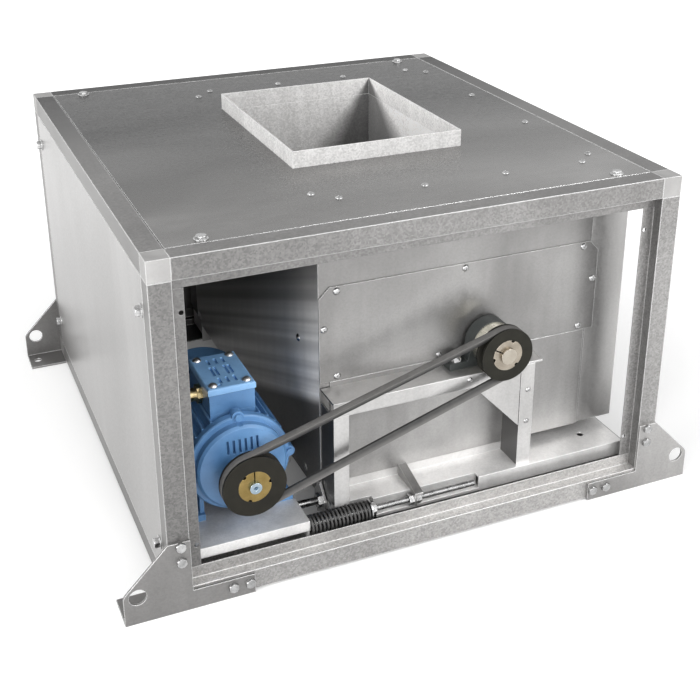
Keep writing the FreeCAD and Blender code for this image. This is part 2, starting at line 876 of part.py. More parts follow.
def make_access_plates(shaft_hole, screw_hole):
    """Two plates that close the chamber front; the upper one has cut corners and the shaft hole."""
    left = chamber_left
    right = access_right
    chamfer = access_chamfer
    outline = [
        (left, access_joint + access_joint_gap),
        (left, access_top - chamfer),
        (left + chamfer, access_top),
        (right - chamfer, access_top),
        (right, access_top - chamfer),
        (right, access_joint + access_joint_gap),
    ]
    upper = plate_xz(outline, access_front, chamber_front)
    bore = cylinder(shaft_hole, Vec(shaft_x, access_front - 1, shaft_z), ALONG_Y, access_sheet + 2)
    holes = [
        cylinder(screw_hole, Vec(x, access_front - 1, z), ALONG_Y, access_sheet + 2)
        for x, z in access_screw_places()
    ]
    save("access_plate_upper", cut(upper, bore, *holes))
    lower = box(
        left + access_lower_inset, right - access_lower_inset, access_front, chamber_front,
        chamber_bottom, access_joint,
    )
    save("access_plate_lower", lower)


def scroll_wire(inset, y):
    """Scroll outline: quarter arcs of growing radius round a small square, with the outlet upwards.

    A positive inset gives the inner side of the sheet, with the outlet end carried past the top.
    """
    half = scroll_step / 2
    first = Vec(shaft_x + half, y, shaft_z - half)
    second = first - ALONG_X * scroll_step
    third = second + ALONG_Z * scroll_step
    radius = scroll_first_radius - inset

    def on_circle(centre, size, degrees):
        angle = math.radians(degrees)
        return centre + Vec(size * math.cos(angle), 0, size * math.sin(angle))

    def arc(centre, size, start, end):
        points = [on_circle(centre, size, degrees) for degrees in (start, (start + end) / 2, end)]
        return Part.Arc(*points).toShape()

    top = chamber_top + (1.0 if inset > 0 else 0.0)
    tongue = on_circle(first, radius, tongue_angle)
    knee = Vec(outlet_right - inset, y, shaft_z + tongue_height - inset)
    corner_right = Vec(outlet_right - inset, y, top)
    corner_left = Vec(outlet_left + inset, y, top)
    left_end = on_circle(third, radius + 2 * scroll_step, 180)
    edges = [
        Part.LineSegment(corner_right, knee).toShape(),
        Part.LineSegment(knee, tongue).toShape(),
        arc(first, radius, tongue_angle, 0),
        arc(second, radius + scroll_step, 0, -90),
        arc(third, radius + 2 * scroll_step, -90, -180),
        Part.LineSegment(left_end, corner_left).toShape(),
        Part.LineSegment(corner_left, corner_right).toShape(),
    ]
    return Part.Wire(edges)


def make_blower():
    """Blower housing with its inlet cones, the outlet collar and the impeller."""
    depth = Vec(0, outlet_depth - 2 * scroll_sheet, 0)
    y0 = outlet_front + scroll_sheet
    outer = Part.Face(scroll_wire(0.0, y0)).extrude(depth)
    inner = Part.Face(scroll_wire(scroll_sheet, y0)).extrude(depth)
    save("scroll_wrapper", outer.cut(inner))

    sides = []
    cones = []
    for face_y, way in ((outlet_front, 1), (outlet_rear, -1)):
        side = Part.Face(scroll_wire(0.0, face_y)).extrude(Vec(0, way * scroll_sheet, 0))
        eye = cylinder(inlet_radius, Vec(shaft_x, face_y - way, shaft_z), ALONG_Y * way, scroll_sheet + 2)
        sides.append(side.cut(eye))
        outside = face_y - way * scroll_sheet
        inside = face_y + way * cone_depth
        points = [
            (inlet_radius + cone_flange, outside),
            (inlet_radius + cone_flange, face_y),
            (inlet_radius - screw_clearance, face_y),
            (cone_throat + scroll_sheet, inside),
            (cone_throat, inside),
            (inlet_radius - screw_clearance - scroll_sheet, outside),
        ]
        cones.append(turned(points, shaft_x, shaft_z))
    save("scroll_sides", *sides)
    save("inlet_cones", *cones)

    collar = box(outlet_left, outlet_right, outlet_front, outlet_rear, chamber_top, collar_top)
    sheet = scroll_sheet
    duct = box(
        outlet_left + sheet, outlet_right - sheet, outlet_front + sheet, outlet_rear - sheet,
        chamber_top - 1, collar_top + 1,
    )
    flange = box(
        outlet_left, outlet_right + collar_flange, outlet_front - collar_flange, outlet_rear + collar_flange,
        chamber_top, skin_under,
    )
    save("outlet_collar", fuse(collar, flange).cut(duct))
    make_impeller()


def make_impeller():
    """Double-width impeller: centre disc on a hub, curved blades and two end rings."""
    middle = outlet_shift
    hub_start = Vec(shaft_x, middle - hub_length / 2, shaft_z)
    hub = ring(hub_radius, fan_shaft_radius, hub_start, ALONG_Y, hub_length)
    disc_start = Vec(shaft_x, middle - disc_sheet / 2, shaft_z)
    disc = ring(impeller_radius, fan_shaft_radius, disc_start, ALONG_Y, disc_sheet)
    save("impeller_hub", fuse(hub, disc))

    rings = []
    for way in (-1, 1):
        start = Vec(shaft_x, middle + way * (impeller_half_width - ring_sheet), shaft_z)
        rings.append(ring(impeller_radius + 1, ring_inner, start, ALONG_Y * way, ring_sheet))

    half_span = (impeller_radius - 1 - blade_inner) / 2
    inner_arc = blade_arc_radius
    outer_arc = blade_arc_radius + blade_sheet
    spread = math.asin(half_span / outer_arc)
    centre_radius = blade_inner + half_span
    lift = outer_arc * math.cos(spread)

    def blade_point(size, angle, y):
        x = shaft_x + centre_radius + size * math.sin(angle)
        return Vec(x, y, shaft_z + lift - size * math.cos(angle))

    blades = []
    length = impeller_half_width - ring_sheet - disc_sheet / 2
    for way in (-1, 1):
        y = middle + way * disc_sheet / 2
        edges = [
            Part.Arc(*[blade_point(outer_arc, a, y) for a in (-spread, 0, spread)]).toShape(),
            Part.LineSegment(blade_point(outer_arc, spread, y), blade_point(inner_arc, spread, y)).toShape(),
            Part.Arc(*[blade_point(inner_arc, a, y) for a in (spread, 0, -spread)]).toShape(),
            Part.LineSegment(
                blade_point(inner_arc, -spread, y), blade_point(outer_arc, -spread, y)
            ).toShape(),
        ]
        blade = Part.Face(Part.Wire(edges)).extrude(Vec(0, way * length, 0))
        for step in range(blade_count):
            copy = blade.copy()
            copy.rotate(Vec(shaft_x, 0, shaft_z), ALONG_Y, 360 * step / blade_count)
            blades.append(copy)
    save("impeller_rings", *rings)
    save("impeller_blades", *blades)


def make_pedestals():
    """Base channel, uprights and shelf in front of the chamber, and their mirror images behind it.

    The channel's front flange steps back behind the spring and the rod.
    """
    right_web = chamber_left + upright_spacing
    web_left = chamber_left + upright_setback
    channel_end = x_in - channel_end_gap
    sheet = pedestal_sheet
    shelf_under = shelf_top - shelf_sheet
    flange_low = shelf_top - shelf_flange
    gusset_right = right_web - gusset_gap
    notch_back = pedestal_front + channel_notch_depth

    flange_end = channel_top - channel_flange
    top = box(web_left, channel_end, channel_front, channel_back, channel_top - sheet, channel_top)
    flange = box(web_left, channel_end, channel_front, channel_front + sheet, flange_end, channel_top)
    notch_end = spring_end + washer_height + nut_height + spring_room_gap
    slot_end = web_left + channel_notch_end
    slot_low = rod_z - anchor_front - rod_slot_gap
    spring_notch = box(
        web_left - 1, notch_end, channel_front - 1, notch_back, flange_end - 1, channel_top + 1,
    )
    rod_slot = box(
        web_left - 1, slot_end, channel_front - 1, rod_slot_back, slot_low, channel_top + 1,
    )
    spring_wall = box(web_left, notch_end + sheet, notch_back, notch_back + sheet, flange_end, channel_top)
    rod_wall = box(
        notch_end, slot_end + sheet, rod_slot_back, rod_slot_back + sheet, slot_low - sheet, channel_top,
    )
    rod_floor = box(
        notch_end, slot_end + sheet, channel_front, rod_slot_back + sheet, slot_low - sheet, slot_low,
    )
    notch_side = box(
        notch_end, notch_end + sheet, rod_slot_back, notch_back + sheet, slot_low - sheet, channel_top,
    )
    stand = lip_floor + lip_sheet
    back = box(web_left, channel_end, channel_back - sheet, channel_back, stand, channel_top)
    bearer_gaps = [
        box(
            x - bearer_clearance, x + bearer_flange + bearer_clearance,
            channel_back - sheet - 1, channel_back + 1, stand - 1, flange_end,
        )
        for x in bearer_places
    ]
    end = box(
        channel_end - sheet, channel_end, -y_in + lip_width, channel_back, lip_floor + lip_sheet, channel_top,
    )
    left_end = box(
        web_left, web_left + sheet, notch_back, channel_back,
        channel_top - lug_drop, channel_top,
    )
    upstand = box(
        web_left, right_web + sheet, chamber_front, chamber_front + sheet, channel_top, chamber_bottom,
    )
    hole = cylinder(
        channel_hole_radius,
        Vec(x_in - channel_hole_inset, pedestal_front + channel_depth / 2, channel_top - sheet - 1),
        ALONG_Z, sheet + 2,
    )
    front = cut(fuse(top, flange), spring_notch, rod_slot)
    steps = fuse(spring_wall, rod_wall, rod_floor, notch_side)
    channel = cut(fuse(front, steps, cut(back, *bearer_gaps), end, left_end, upstand), hole)

    spring_room = rod_z + spring_outer / 2 + spring_room_gap
    left_web = box(web_left, web_left + sheet, pedestal_front, access_front, spring_room, flange_low)
    left_back = box(
        web_left, web_left + sheet, notch_back, access_front, channel_top, flange_low,
    )
    left_flange = box(
        web_left, web_left + upright_flange, pedestal_front, pedestal_front + sheet, spring_room, flange_low,
    )
    left_upright = fuse(left_web, left_back, left_flange)

    right = box(right_web, right_web + sheet, pedestal_front, access_front, channel_top, shelf_under)
    right_flange = box(
        right_web, right_web + upright_flange, pedestal_front, pedestal_front + sheet,
        channel_top, shelf_under,
    )
    right_upright = fuse(right, right_flange)

    shelf = box(web_left, right_web + shelf_overhang, pedestal_front, access_front, shelf_under, shelf_top)
    front = plate_xz(
        [
            (web_left, shelf_top),
            (gusset_right, shelf_top),
            (gusset_right, flange_low - gusset_drop),
            (gusset_right - gusset_width, flange_low),
            (web_left, flange_low),
        ],
        pedestal_front, pedestal_front + sheet,
    )
    bolt_holes = [
        cylinder(
            housing_bolt_radius + screw_clearance,
            Vec(shaft_x + way * housing_bolt_reach, housing_middle, shelf_under - 1),
            ALONG_Z, shelf_sheet + 2,
        )
        for way in (-1, 1)
    ]
    shelf = cut(fuse(shelf, front), *bolt_holes)

    for name, shapes in (
        ("base_channels", [channel]),
        ("pedestal_uprights", [left_upright, right_upright]),
        ("bearing_shelves", [shelf]),
    ):
        save(name, *shapes, *[mirrored(shape, ALONG_Y) for shape in shapes])


def make_bearings():
    """Two cast bearing blocks with ball bearings; the rear one mirrors the front one."""
    middle = housing_middle
    half = housing_length / 2
    body = cylinder(housing_radius, Vec(shaft_x, middle - half, shaft_z), ALONG_Y, housing_length)
    foot = box(
        shaft_x - housing_foot_half, shaft_x + housing_foot_half, middle - half, middle + half,
        shelf_top, shelf_top + housing_foot_height,
    )
    cheek = plate_xz(
        [
            (shaft_x - housing_radius, shaft_z),
            (shaft_x + housing_radius, shaft_z),
            (shaft_x + housing_radius + housing_flare, shelf_top),
            (shaft_x - housing_radius - housing_flare, shelf_top),
        ],
        middle - half, middle + half,
    )
    below = box(
        shaft_x - housing_radius - 1, shaft_x + housing_radius + 1, middle - half - 1, middle + half + 1,
        shelf_top - housing_radius, shelf_top,
    )
    seat_start = Vec(shaft_x, middle - half - 1, shaft_z)
    seat = cylinder(bearing_outer_radius, seat_start, ALONG_Y, housing_length + 2)
    hole = housing_bolt_radius + screw_clearance
    deep = housing_foot_height + 2
    holes = [
        cylinder(hole, Vec(shaft_x + way * housing_bolt_reach, middle, shelf_top - 1), ALONG_Z, deep)
        for way in (-1, 1)
    ]
    housing = cut(fuse(body, cheek, foot), below, seat, *holes)
    start = Vec(shaft_x, middle - bearing_length / 2, shaft_z)
    outer_wall = bearing_outer_radius - bearing_outer_wall
    inner_wall = fan_shaft_radius + bearing_inner_wall
    ball_radius = (outer_wall - inner_wall) / 2 + 1.0
    ball_circle = (outer_wall + inner_wall) / 2
    groove = Part.makeTorus(
        ball_circle, ball_radius + ball_clearance, Vec(shaft_x, middle, shaft_z), ALONG_Y
    )
    outer = ring(bearing_outer_radius, outer_wall, start, ALONG_Y, bearing_length).cut(groove)
    inner = ring(inner_wall, fan_shaft_radius, start, ALONG_Y, bearing_length).cut(groove)
    balls = []
    for step in range(bearing_ball_count):
        angle = 2 * math.pi * step / bearing_ball_count
        offset = Vec(math.cos(angle) * ball_circle, 0, math.sin(angle) * ball_circle)
        balls.append(Part.makeSphere(ball_radius, Vec(shaft_x, middle, shaft_z) + offset))
    face = Vec(shaft_x, middle - half, shaft_z)
    cover = ring(cover_ring_radius, fan_shaft_radius + shaft_clearance, face, -ALONG_Y, cover_ring_length)
    sleeve = ring(bearing_outer_radius, outer_wall, face, ALONG_Y, half - bearing_length / 2)
    cover = fuse(cover, sleeve)
    for name, shapes in (
        ("bearing_housings", [housing]),
        ("bearing_outer_rings", [outer]),
        ("bearing_inner_rings", [inner] + balls),
        ("bearing_covers", [cover]),
    ):
        save(name, *shapes, *[mirrored(shape, ALONG_Y) for shape in shapes])

    rear_end = -(middle - half - cover_ring_length - 3)
    shaft = cylinder(fan_shaft_radius, Vec(shaft_x, shaft_front, shaft_z), ALONG_Y, rear_end - shaft_front)
    save("fan_shaft", shaft)


def pulley(pitch_radius, x, z):
    """V-pulley turned about Y, with a tapered seat for its bush."""
    rim = pitch_radius + belt_above_pitch
    half_top = belt_top_width / 2 + belt_clearance / math.cos(math.radians(belt_half_angle))
    depth = belt_height + belt_clearance + groove_extra_depth
    half_low = half_top - depth * math.tan(math.radians(belt_half_angle))
    seat_back = bush_radius - bush_taper * pulley_width / bush_length
    points = [
        (bush_radius, pulley_front),
        (rim, pulley_front),
        (rim, belt_y - half_top),
        (rim - depth, belt_y - half_low),
        (rim - depth, belt_y + half_low),
        (rim, belt_y + half_top),
        (rim, pulley_back),
        (seat_back, pulley_back),
    ]
    return turned(points, x, z)


def bush(shaft_radius, x, z, turn):
    """Split taper bush, flush with the pulley front, with three half-round notches at its edge."""
    back = pulley_front + bush_length
    points = [
        (shaft_radius, pulley_front),
        (bush_radius, pulley_front),
        (bush_radius - bush_taper, back),
        (shaft_radius, back),
    ]
    body = turned(points, x, z)
    slit = box(x - bush_slit / 2, x + bush_slit / 2, pulley_front - 1, back + 1, z, z + bush_radius + 1)
    notches = []
    for angle in (80, 200, 320):
        place = Vec(x + bush_radius * math.sin(math.radians(angle)), pulley_front - 1,
                    z + bush_radius * math.cos(math.radians(angle)))
        notches.append(cylinder(bush_notch_radius, place, ALONG_Y, bush_notch_depth + 1))
    body = cut(body, slit, *notches)
    body.rotate(Vec(x, 0, z), ALONG_Y, turn)
    return body


def belt_side(centre_a, radius_a, centre_b, radius_b, y):
    """Closed loop round two circles of an open belt drive, as one wire in the plane y."""
    ax, az = centre_a
    bx, bz = centre_b
    span = math.hypot(bx - ax, bz - az)
    lean = math.atan2(bz - az, bx - ax)
    spread = math.acos((radius_a - radius_b) / span)

    def point(centre, radius, angle):
        return Vec(centre[0] + radius * math.cos(angle), y, centre[1] + radius * math.sin(angle))

    up_a = point(centre_a, radius_a, lean + spread)
    low_a = point(centre_a, radius_a, lean - spread)
    up_b = point(centre_b, radius_b, lean + spread)
    low_b = point(centre_b, radius_b, lean - spread)
    return Part.Wire([
        Part.LineSegment(up_a, up_b).toShape(),
        Part.Arc(up_b, point(centre_b, radius_b, lean), low_b).toShape(),
        Part.LineSegment(low_b, low_a).toShape(),
        Part.Arc(low_a, point(centre_a, radius_a, lean + math.pi), up_a).toShape(),
    ])


def make_belt_drive():
    """Pulleys, taper bushes and the V-belt, which lies in the grooves with a small clearance."""
    save("fan_pulley", pulley(fan_pitch_radius, shaft_x, shaft_z))
    save("motor_pulley", pulley(motor_pitch_radius, motor_x, motor_z))
    save("fan_bush", bush(fan_shaft_radius, shaft_x, shaft_z, -60))
    save("motor_bush", bush(motor_shaft_radius, motor_x, motor_z, 0))

    half_top = belt_top_width / 2
    half_low = half_top - belt_height * math.tan(math.radians(belt_half_angle))
    top_extra = belt_above_pitch
    low_extra = belt_above_pitch - belt_height
    motor = (motor_x, motor_z)
    fan = (shaft_x, shaft_z)

    def loop(extra, y):
        return belt_side(motor, motor_pitch_radius + extra, fan, fan_pitch_radius + extra, y)

    def between(extra_a, y_a, extra_b, y_b):
        return Part.makeLoft([loop(extra_a, belt_y + y_a), loop(extra_b, belt_y + y_b)], True)

    belt = cut(
        between(top_extra, -half_top, top_extra, half_top),
        between(top_extra, -half_top, low_extra, -half_low),
        between(low_extra, -half_low, low_extra, half_low),
        between(low_extra, half_low, top_extra, half_top),
    )
    save("v_belt", belt)


def make_motor():
    """Foot-mounted motor with its shaft along Y, drive end to the front."""
    axis = Vec(motor_x, 0, motor_z)

    def at(y, radius=0.0, degrees=0.0):
        angle = math.radians(degrees)
        return axis + Vec(radius * math.cos(angle), y, radius * math.sin(angle))

    make_motor_shields(at)
    make_motor_frame(at)
    make_motor_inside(at)
    make_terminal_box()
    save("motor_bolts", *tie_bolts(at), *foot_bolts(), *lid_screws())


def tie_bolts(at):
    start_y = shield_back - shield_lip_length
    bolts = []
    for angle in ear_angles:
        start = at(start_y, ear_reach, angle)
        head = hex_prism(2 * ear_bolt_head, start, -ALONG_Y, ear_bolt_head_height)
        bolts.append(fuse(head, cylinder(ear_bolt_radius, start, ALONG_Y, shield_lip_length)))
    return bolts


def foot_bolts():
    bolts = []
    for x, y in foot_hole_places:
        place = Vec(x, y, tray_top + foot_bar_height)
        head = hex_prism(2 * foot_bolt_head, place, ALONG_Z, foot_bolt_head_height)
        grip = foot_bar_height + tray_sheet + 5
        bolts.append(fuse(head, cylinder(foot_bolt_radius, place, -ALONG_Z, grip)))
    return bolts


def lid_screws():
    screws = []
    for x, y in lid_screw_places:
        top = Vec(x, y, lid_top)
        head = dome(lid_screw_head, lid_screw_head_height, top, ALONG_Z)
        screws.append(fuse(head, cylinder(lid_screw_radius, top, -ALONG_Z, lid_height + 7)))
    return screws


def make_motor_shields(at):
    dome_start = shield_front + shield_hub_length
    lip_start = dome_start + shield_dome_length
    seat = motor_bearing_radius
    seat_wall = seat + motor_bearing_wall
    seal = motor_seat_radius + shaft_seal_gap
    stop = shield_front + motor_bearing_stop
    seat_end = stop + motor_bearing_length
    points = [
        (seal, shield_front),
        (shield_hub_radius, shield_front),
        (shield_hub_radius, dome_start - shield_hub_step),
        (shield_dome_radius - shield_dome_edge, dome_start),
        (shield_dome_radius, dome_start + shield_dome_edge),
        (shield_dome_radius, lip_start),
        (shield_radius - shield_rim_edge, lip_start),
        (shield_radius, lip_start + shield_rim_edge),
        (shield_radius, shield_back),
        (shield_radius - shield_wall, shield_back),
        (shield_radius - shield_wall, lip_start + shield_lip_rebate),
        (shield_dome_radius - shield_wall, lip_start + shield_lip_rebate),
        (shield_dome_radius - shield_wall, dome_start + shield_wall),
        (seat_wall, dome_start + shield_wall),
        (seat_wall, seat_end),
        (seat, seat_end),
        (seat, stop),
        (seal, stop),
    ]
    shield = turned(points, motor_x, motor_z)
    ears = [cylinder(ear_radius, at(lip_start, ear_reach, angle), ALONG_Y, shield_lip_length)
            for angle in ear_angles]
    rebate = at(lip_start + shield_lip_rebate)
    hollow = cylinder(shield_radius - shield_wall, rebate, ALONG_Y, shield_lip_length)
    slots = []
    for step in range(shield_slot_count):
        x = motor_x + (step - (shield_slot_count - 1) / 2) * shield_slot_pitch
        slots.append(box(
            x - shield_slot_width / 2, x + shield_slot_width / 2,
            dome_start - shield_hub_step, dome_start + shield_slot_depth,
            motor_z + shield_slot_rise, motor_z + shield_slot_rise + shield_slot_height,
        ))
    bolt_holes = [
        cylinder(ear_bolt_radius + screw_clearance, at(lip_start - 1, ear_reach, angle), ALONG_Y,
                 shield_lip_length + 2)
        for angle in ear_angles
    ]
    ears = [ear.cut(hollow) for ear in ears]
    pockets = [
        cylinder(ear_radius, at(dome_start, ear_reach, angle), ALONG_Y, shield_dome_length)
        for angle in ear_angles
    ]
    front = cut(fuse(shield, *ears), *slots, *pockets, *bolt_holes)

    rear_stop = rear_shield_back - motor_bearing_stop
    seat_start = rear_stop - motor_bearing_length
    cover_start = barrel_back + rear_shield_rebate
    rear_radius = shield_radius - cowl_step
    points = [
        (seat, seat_start),
        (seat_wall, seat_start),
        (seat_wall, cover_start),
        (shield_radius - shield_wall, cover_start),
        (shield_radius - shield_wall, barrel_back),
        (rear_radius, barrel_back),
        (rear_radius, rear_shield_back),
        (seal, rear_shield_back),
        (seal, rear_stop),
        (seat, rear_stop),
    ]
    save("motor_shields", front, turned(points, motor_x, motor_z))


def make_motor_frame(at):
    """Finned barrel with feet, and the fan cowl."""
    barrel = cylinder(barrel_radius, at(shield_back), ALONG_Y, barrel_length)
    fins = []
    count = int(180 / fin_step)
    for step in range(count):
        angle = -90 + (step + 0.5) * 360 / (2 * count)
        for side in (0, 180):
            turn = angle + side
            if abs((turn % 360) - 90) < 28 or abs((turn % 360) - 270) < 30:
                continue
            fin = box(
                motor_x + barrel_radius - 3, motor_x + fin_radius, shield_back, barrel_back,
                motor_z - fin_sheet / 2, motor_z + fin_sheet / 2,
            )
            fin.rotate(at(0), ALONG_Y, -turn)
            fins.append(fin)
    feet = []
    foot_front = foot_hole_front - foot_end_margin
    foot_rear = foot_hole_rear + foot_end_margin
    for way in (-1, 1):
        outer = motor_x + way * foot_half_width
        inner = motor_x + way * (foot_half_width - foot_bar_width)
        feet.append(box(outer, inner, foot_front, foot_rear, tray_top, tray_top + foot_bar_height))
        foot_top = motor_z - barrel_radius / 2
        feet.append(box(inner, inner + way * foot_web, shield_back, foot_rear, tray_top, foot_top))
    pad = box(
        motor_x - terminal_width / 2, motor_x + terminal_width / 2,
        terminal_front, terminal_front + terminal_length, motor_z, motor_z + terminal_low,
    )
    bore = cylinder(barrel_radius - barrel_wall, at(shield_back - 1), ALONG_Y, barrel_length + 2)
    hole = foot_bolt_radius + screw_clearance
    deep = foot_bar_height + 8
    holes = [cylinder(hole, Vec(x, y, tray_top - 1), ALONG_Z, deep) for x, y in foot_hole_places]
    frame = fuse(barrel, *fins, *feet, pad)
    save("motor_frame", cut(frame, bore, *holes))

    cup = cylinder(cowl_radius, at(cowl_front), ALONG_Y, cowl_length)
    room = cylinder(cowl_radius - cowl_sheet, at(cowl_front - 1), ALONG_Y, cowl_length + 1 - cowl_sheet)
    slots = []
    for step in range(cowl_slot_count):
        slot = box(
            motor_x + cowl_slot_inner, motor_x + cowl_slot_outer, cowl_back - cowl_sheet - 1, cowl_back + 1,
            motor_z - cowl_slot_width / 2, motor_z + cowl_slot_width / 2,
        )
        slot.rotate(at(0), ALONG_Y, 360 * step / cowl_slot_count)
        slots.append(slot)
    collar_start = at(rear_shield_back - cowl_collar_back)
    collar = ring(
        cowl_radius - cowl_sheet, shield_radius - cowl_step, collar_start, ALONG_Y, cowl_collar_length
    )
    save("motor_fan_cowl", fuse(cut(cup, room, *slots), collar))


def make_motor_inside(at):
    """Stator, rotor core, shaft, bearings and cooling fan."""
    core_start = shield_back + (barrel_length - stator_length) / 2
    stator = ring(barrel_radius - barrel_wall, stator_inner_radius, at(core_start), ALONG_Y, stator_length)
    winding = ring(
        winding_radius, stator_inner_radius + 2, at(core_start - winding_length), ALONG_Y,
        stator_length + 2 * winding_length,
    )
    save("motor_stator", fuse(stator, winding))
    core = ring(
        stator_inner_radius - rotor_gap, motor_core_shaft_radius, at(core_start), ALONG_Y, stator_length
    )
    save("motor_rotor_core", core)

    front_stop = shield_front + motor_bearing_stop
    front_seat = front_stop + motor_bearing_length
    rear_seat = rear_shield_back - motor_bearing_stop - motor_bearing_length
    fan_start = rear_shield_back + cooling_fan_gap
    shaft_end = fan_start + cooling_fan_length
    shaft = fuse(
        cylinder(motor_shaft_radius, at(shaft_front), ALONG_Y, shaft_end - shaft_front),
        cylinder(motor_seat_radius, at(shoulder_y), ALONG_Y, shaft_end - shoulder_y),
        cylinder(motor_core_shaft_radius, at(front_seat + 2), ALONG_Y, rear_seat - front_seat - 4),
    )
    centre_hole = Part.makeCone(
        centre_hole_radius, centre_hole_tip, centre_hole_depth, at(shaft_front), ALONG_Y
    )
    save("motor_shaft", shaft.cut(centre_hole))

    bore = motor_seat_radius + motor_running_clearance
    bearings = [
        ring(motor_bearing_radius, bore, at(front_stop), ALONG_Y, motor_bearing_length),
        ring(motor_bearing_radius, bore, at(rear_seat), ALONG_Y, motor_bearing_length),
    ]
    save("motor_bearings", *bearings)

    hub = ring(cooling_fan_hub, motor_seat_radius, at(fan_start), ALONG_Y, cooling_fan_length)
    disc = ring(cooling_fan_radius, motor_seat_radius, at(fan_start), ALONG_Y, cooling_fan_sheet)
    vanes = []
    for step in range(cooling_fan_blades):
        vane = box(
            motor_x + cooling_fan_hub - 1, motor_x + cooling_fan_radius,
            fan_start, fan_start + cooling_fan_length,
            motor_z - cooling_fan_sheet / 2, motor_z + cooling_fan_sheet / 2,
        )
        vane.rotate(at(0), ALONG_Y, 360 * step / cooling_fan_blades)
        vanes.append(vane)
    save("motor_cooling_fan", fuse(hub, disc, *vanes))


def lid_groove(x, start, length):
    """Cutter for one groove in the top of the terminal lid."""
    half = lid_groove_width / 2
    return box(x - half, x + half, start, start + length, lid_top - lid_groove_depth, lid_top + 1)


def make_terminal_box():
    """Terminal box on the frame's pad, with a grooved lid, its screws and a cable gland on the left."""
    left = motor_x - terminal_width / 2
    right = motor_x + terminal_width / 2
    front = terminal_front
    rear = front + terminal_length
    low = motor_z + terminal_low
    high = motor_z + terminal_top
    wall = terminal_wall
    gland_place = Vec(left, front + gland_back, low + gland_rise)
    shell = box(left, right, front, rear, low, high)
    room = box(left + wall, right - wall, front + wall, rear - wall, low + wall, high + 1)
    inset = lid_screw_inset
    posts = [box(x - inset, x + inset, y - inset, y + inset, low, high) for x, y in lid_screw_places]
    hole = lid_screw_radius + screw_clearance
    holes = [cylinder(hole, Vec(x, y, lid_top + 1), -ALONG_Z, lid_height + 10) for x, y in lid_screw_places]
    port_start = gland_place + ALONG_X * (wall + 1)
    port = cylinder(gland_radius + screw_clearance, port_start, -ALONG_X, wall + 2)
    box_body = fuse(shell.cut(room), *posts)
    save("terminal_box", cut(box_body, port, *holes))

    edge = lid_margin
    lid = box(left - edge, right + edge, front - edge, rear + edge, high, lid_top)
    lid = lid.makeFillet(lid_round, [side for side in lid.Edges if side.BoundBox.ZMin > lid_top - 0.1])
    grooves = []
    for start in (front + lid_groove_inset, rear - lid_groove_inset - lid_groove_length):
        for step in range(lid_groove_count):
            x = motor_x + (step - (lid_groove_count - 1) / 2) * lid_groove_pitch
            grooves.append(lid_groove(x, start, lid_groove_length))
    middle_start = (front + rear - lid_middle_length) / 2
    for offset in lid_middle_offsets:
        grooves.append(lid_groove(motor_x + offset, middle_start, lid_middle_length))
    recess_place = Vec(left + lid_recess_inset, front + lid_screw_inset, lid_top + 1)
    recess = cylinder(lid_recess_radius, recess_place, -ALONG_Z, lid_groove_depth + 1)
    save("terminal_lid", cut(lid, recess, *grooves, *holes))

    stem = cylinder(gland_radius, gland_place + ALONG_X * wall, -ALONG_X, gland_length + wall)
    nut = hex_prism(2 * gland_nut_radius, gland_place, -ALONG_X, gland_nut_length)
    bore = cylinder(gland_bore, gland_place + ALONG_X * (wall + 1), -ALONG_X, gland_length + wall + 2)
    save("cable_gland", fuse(stem, nut).cut(bore))


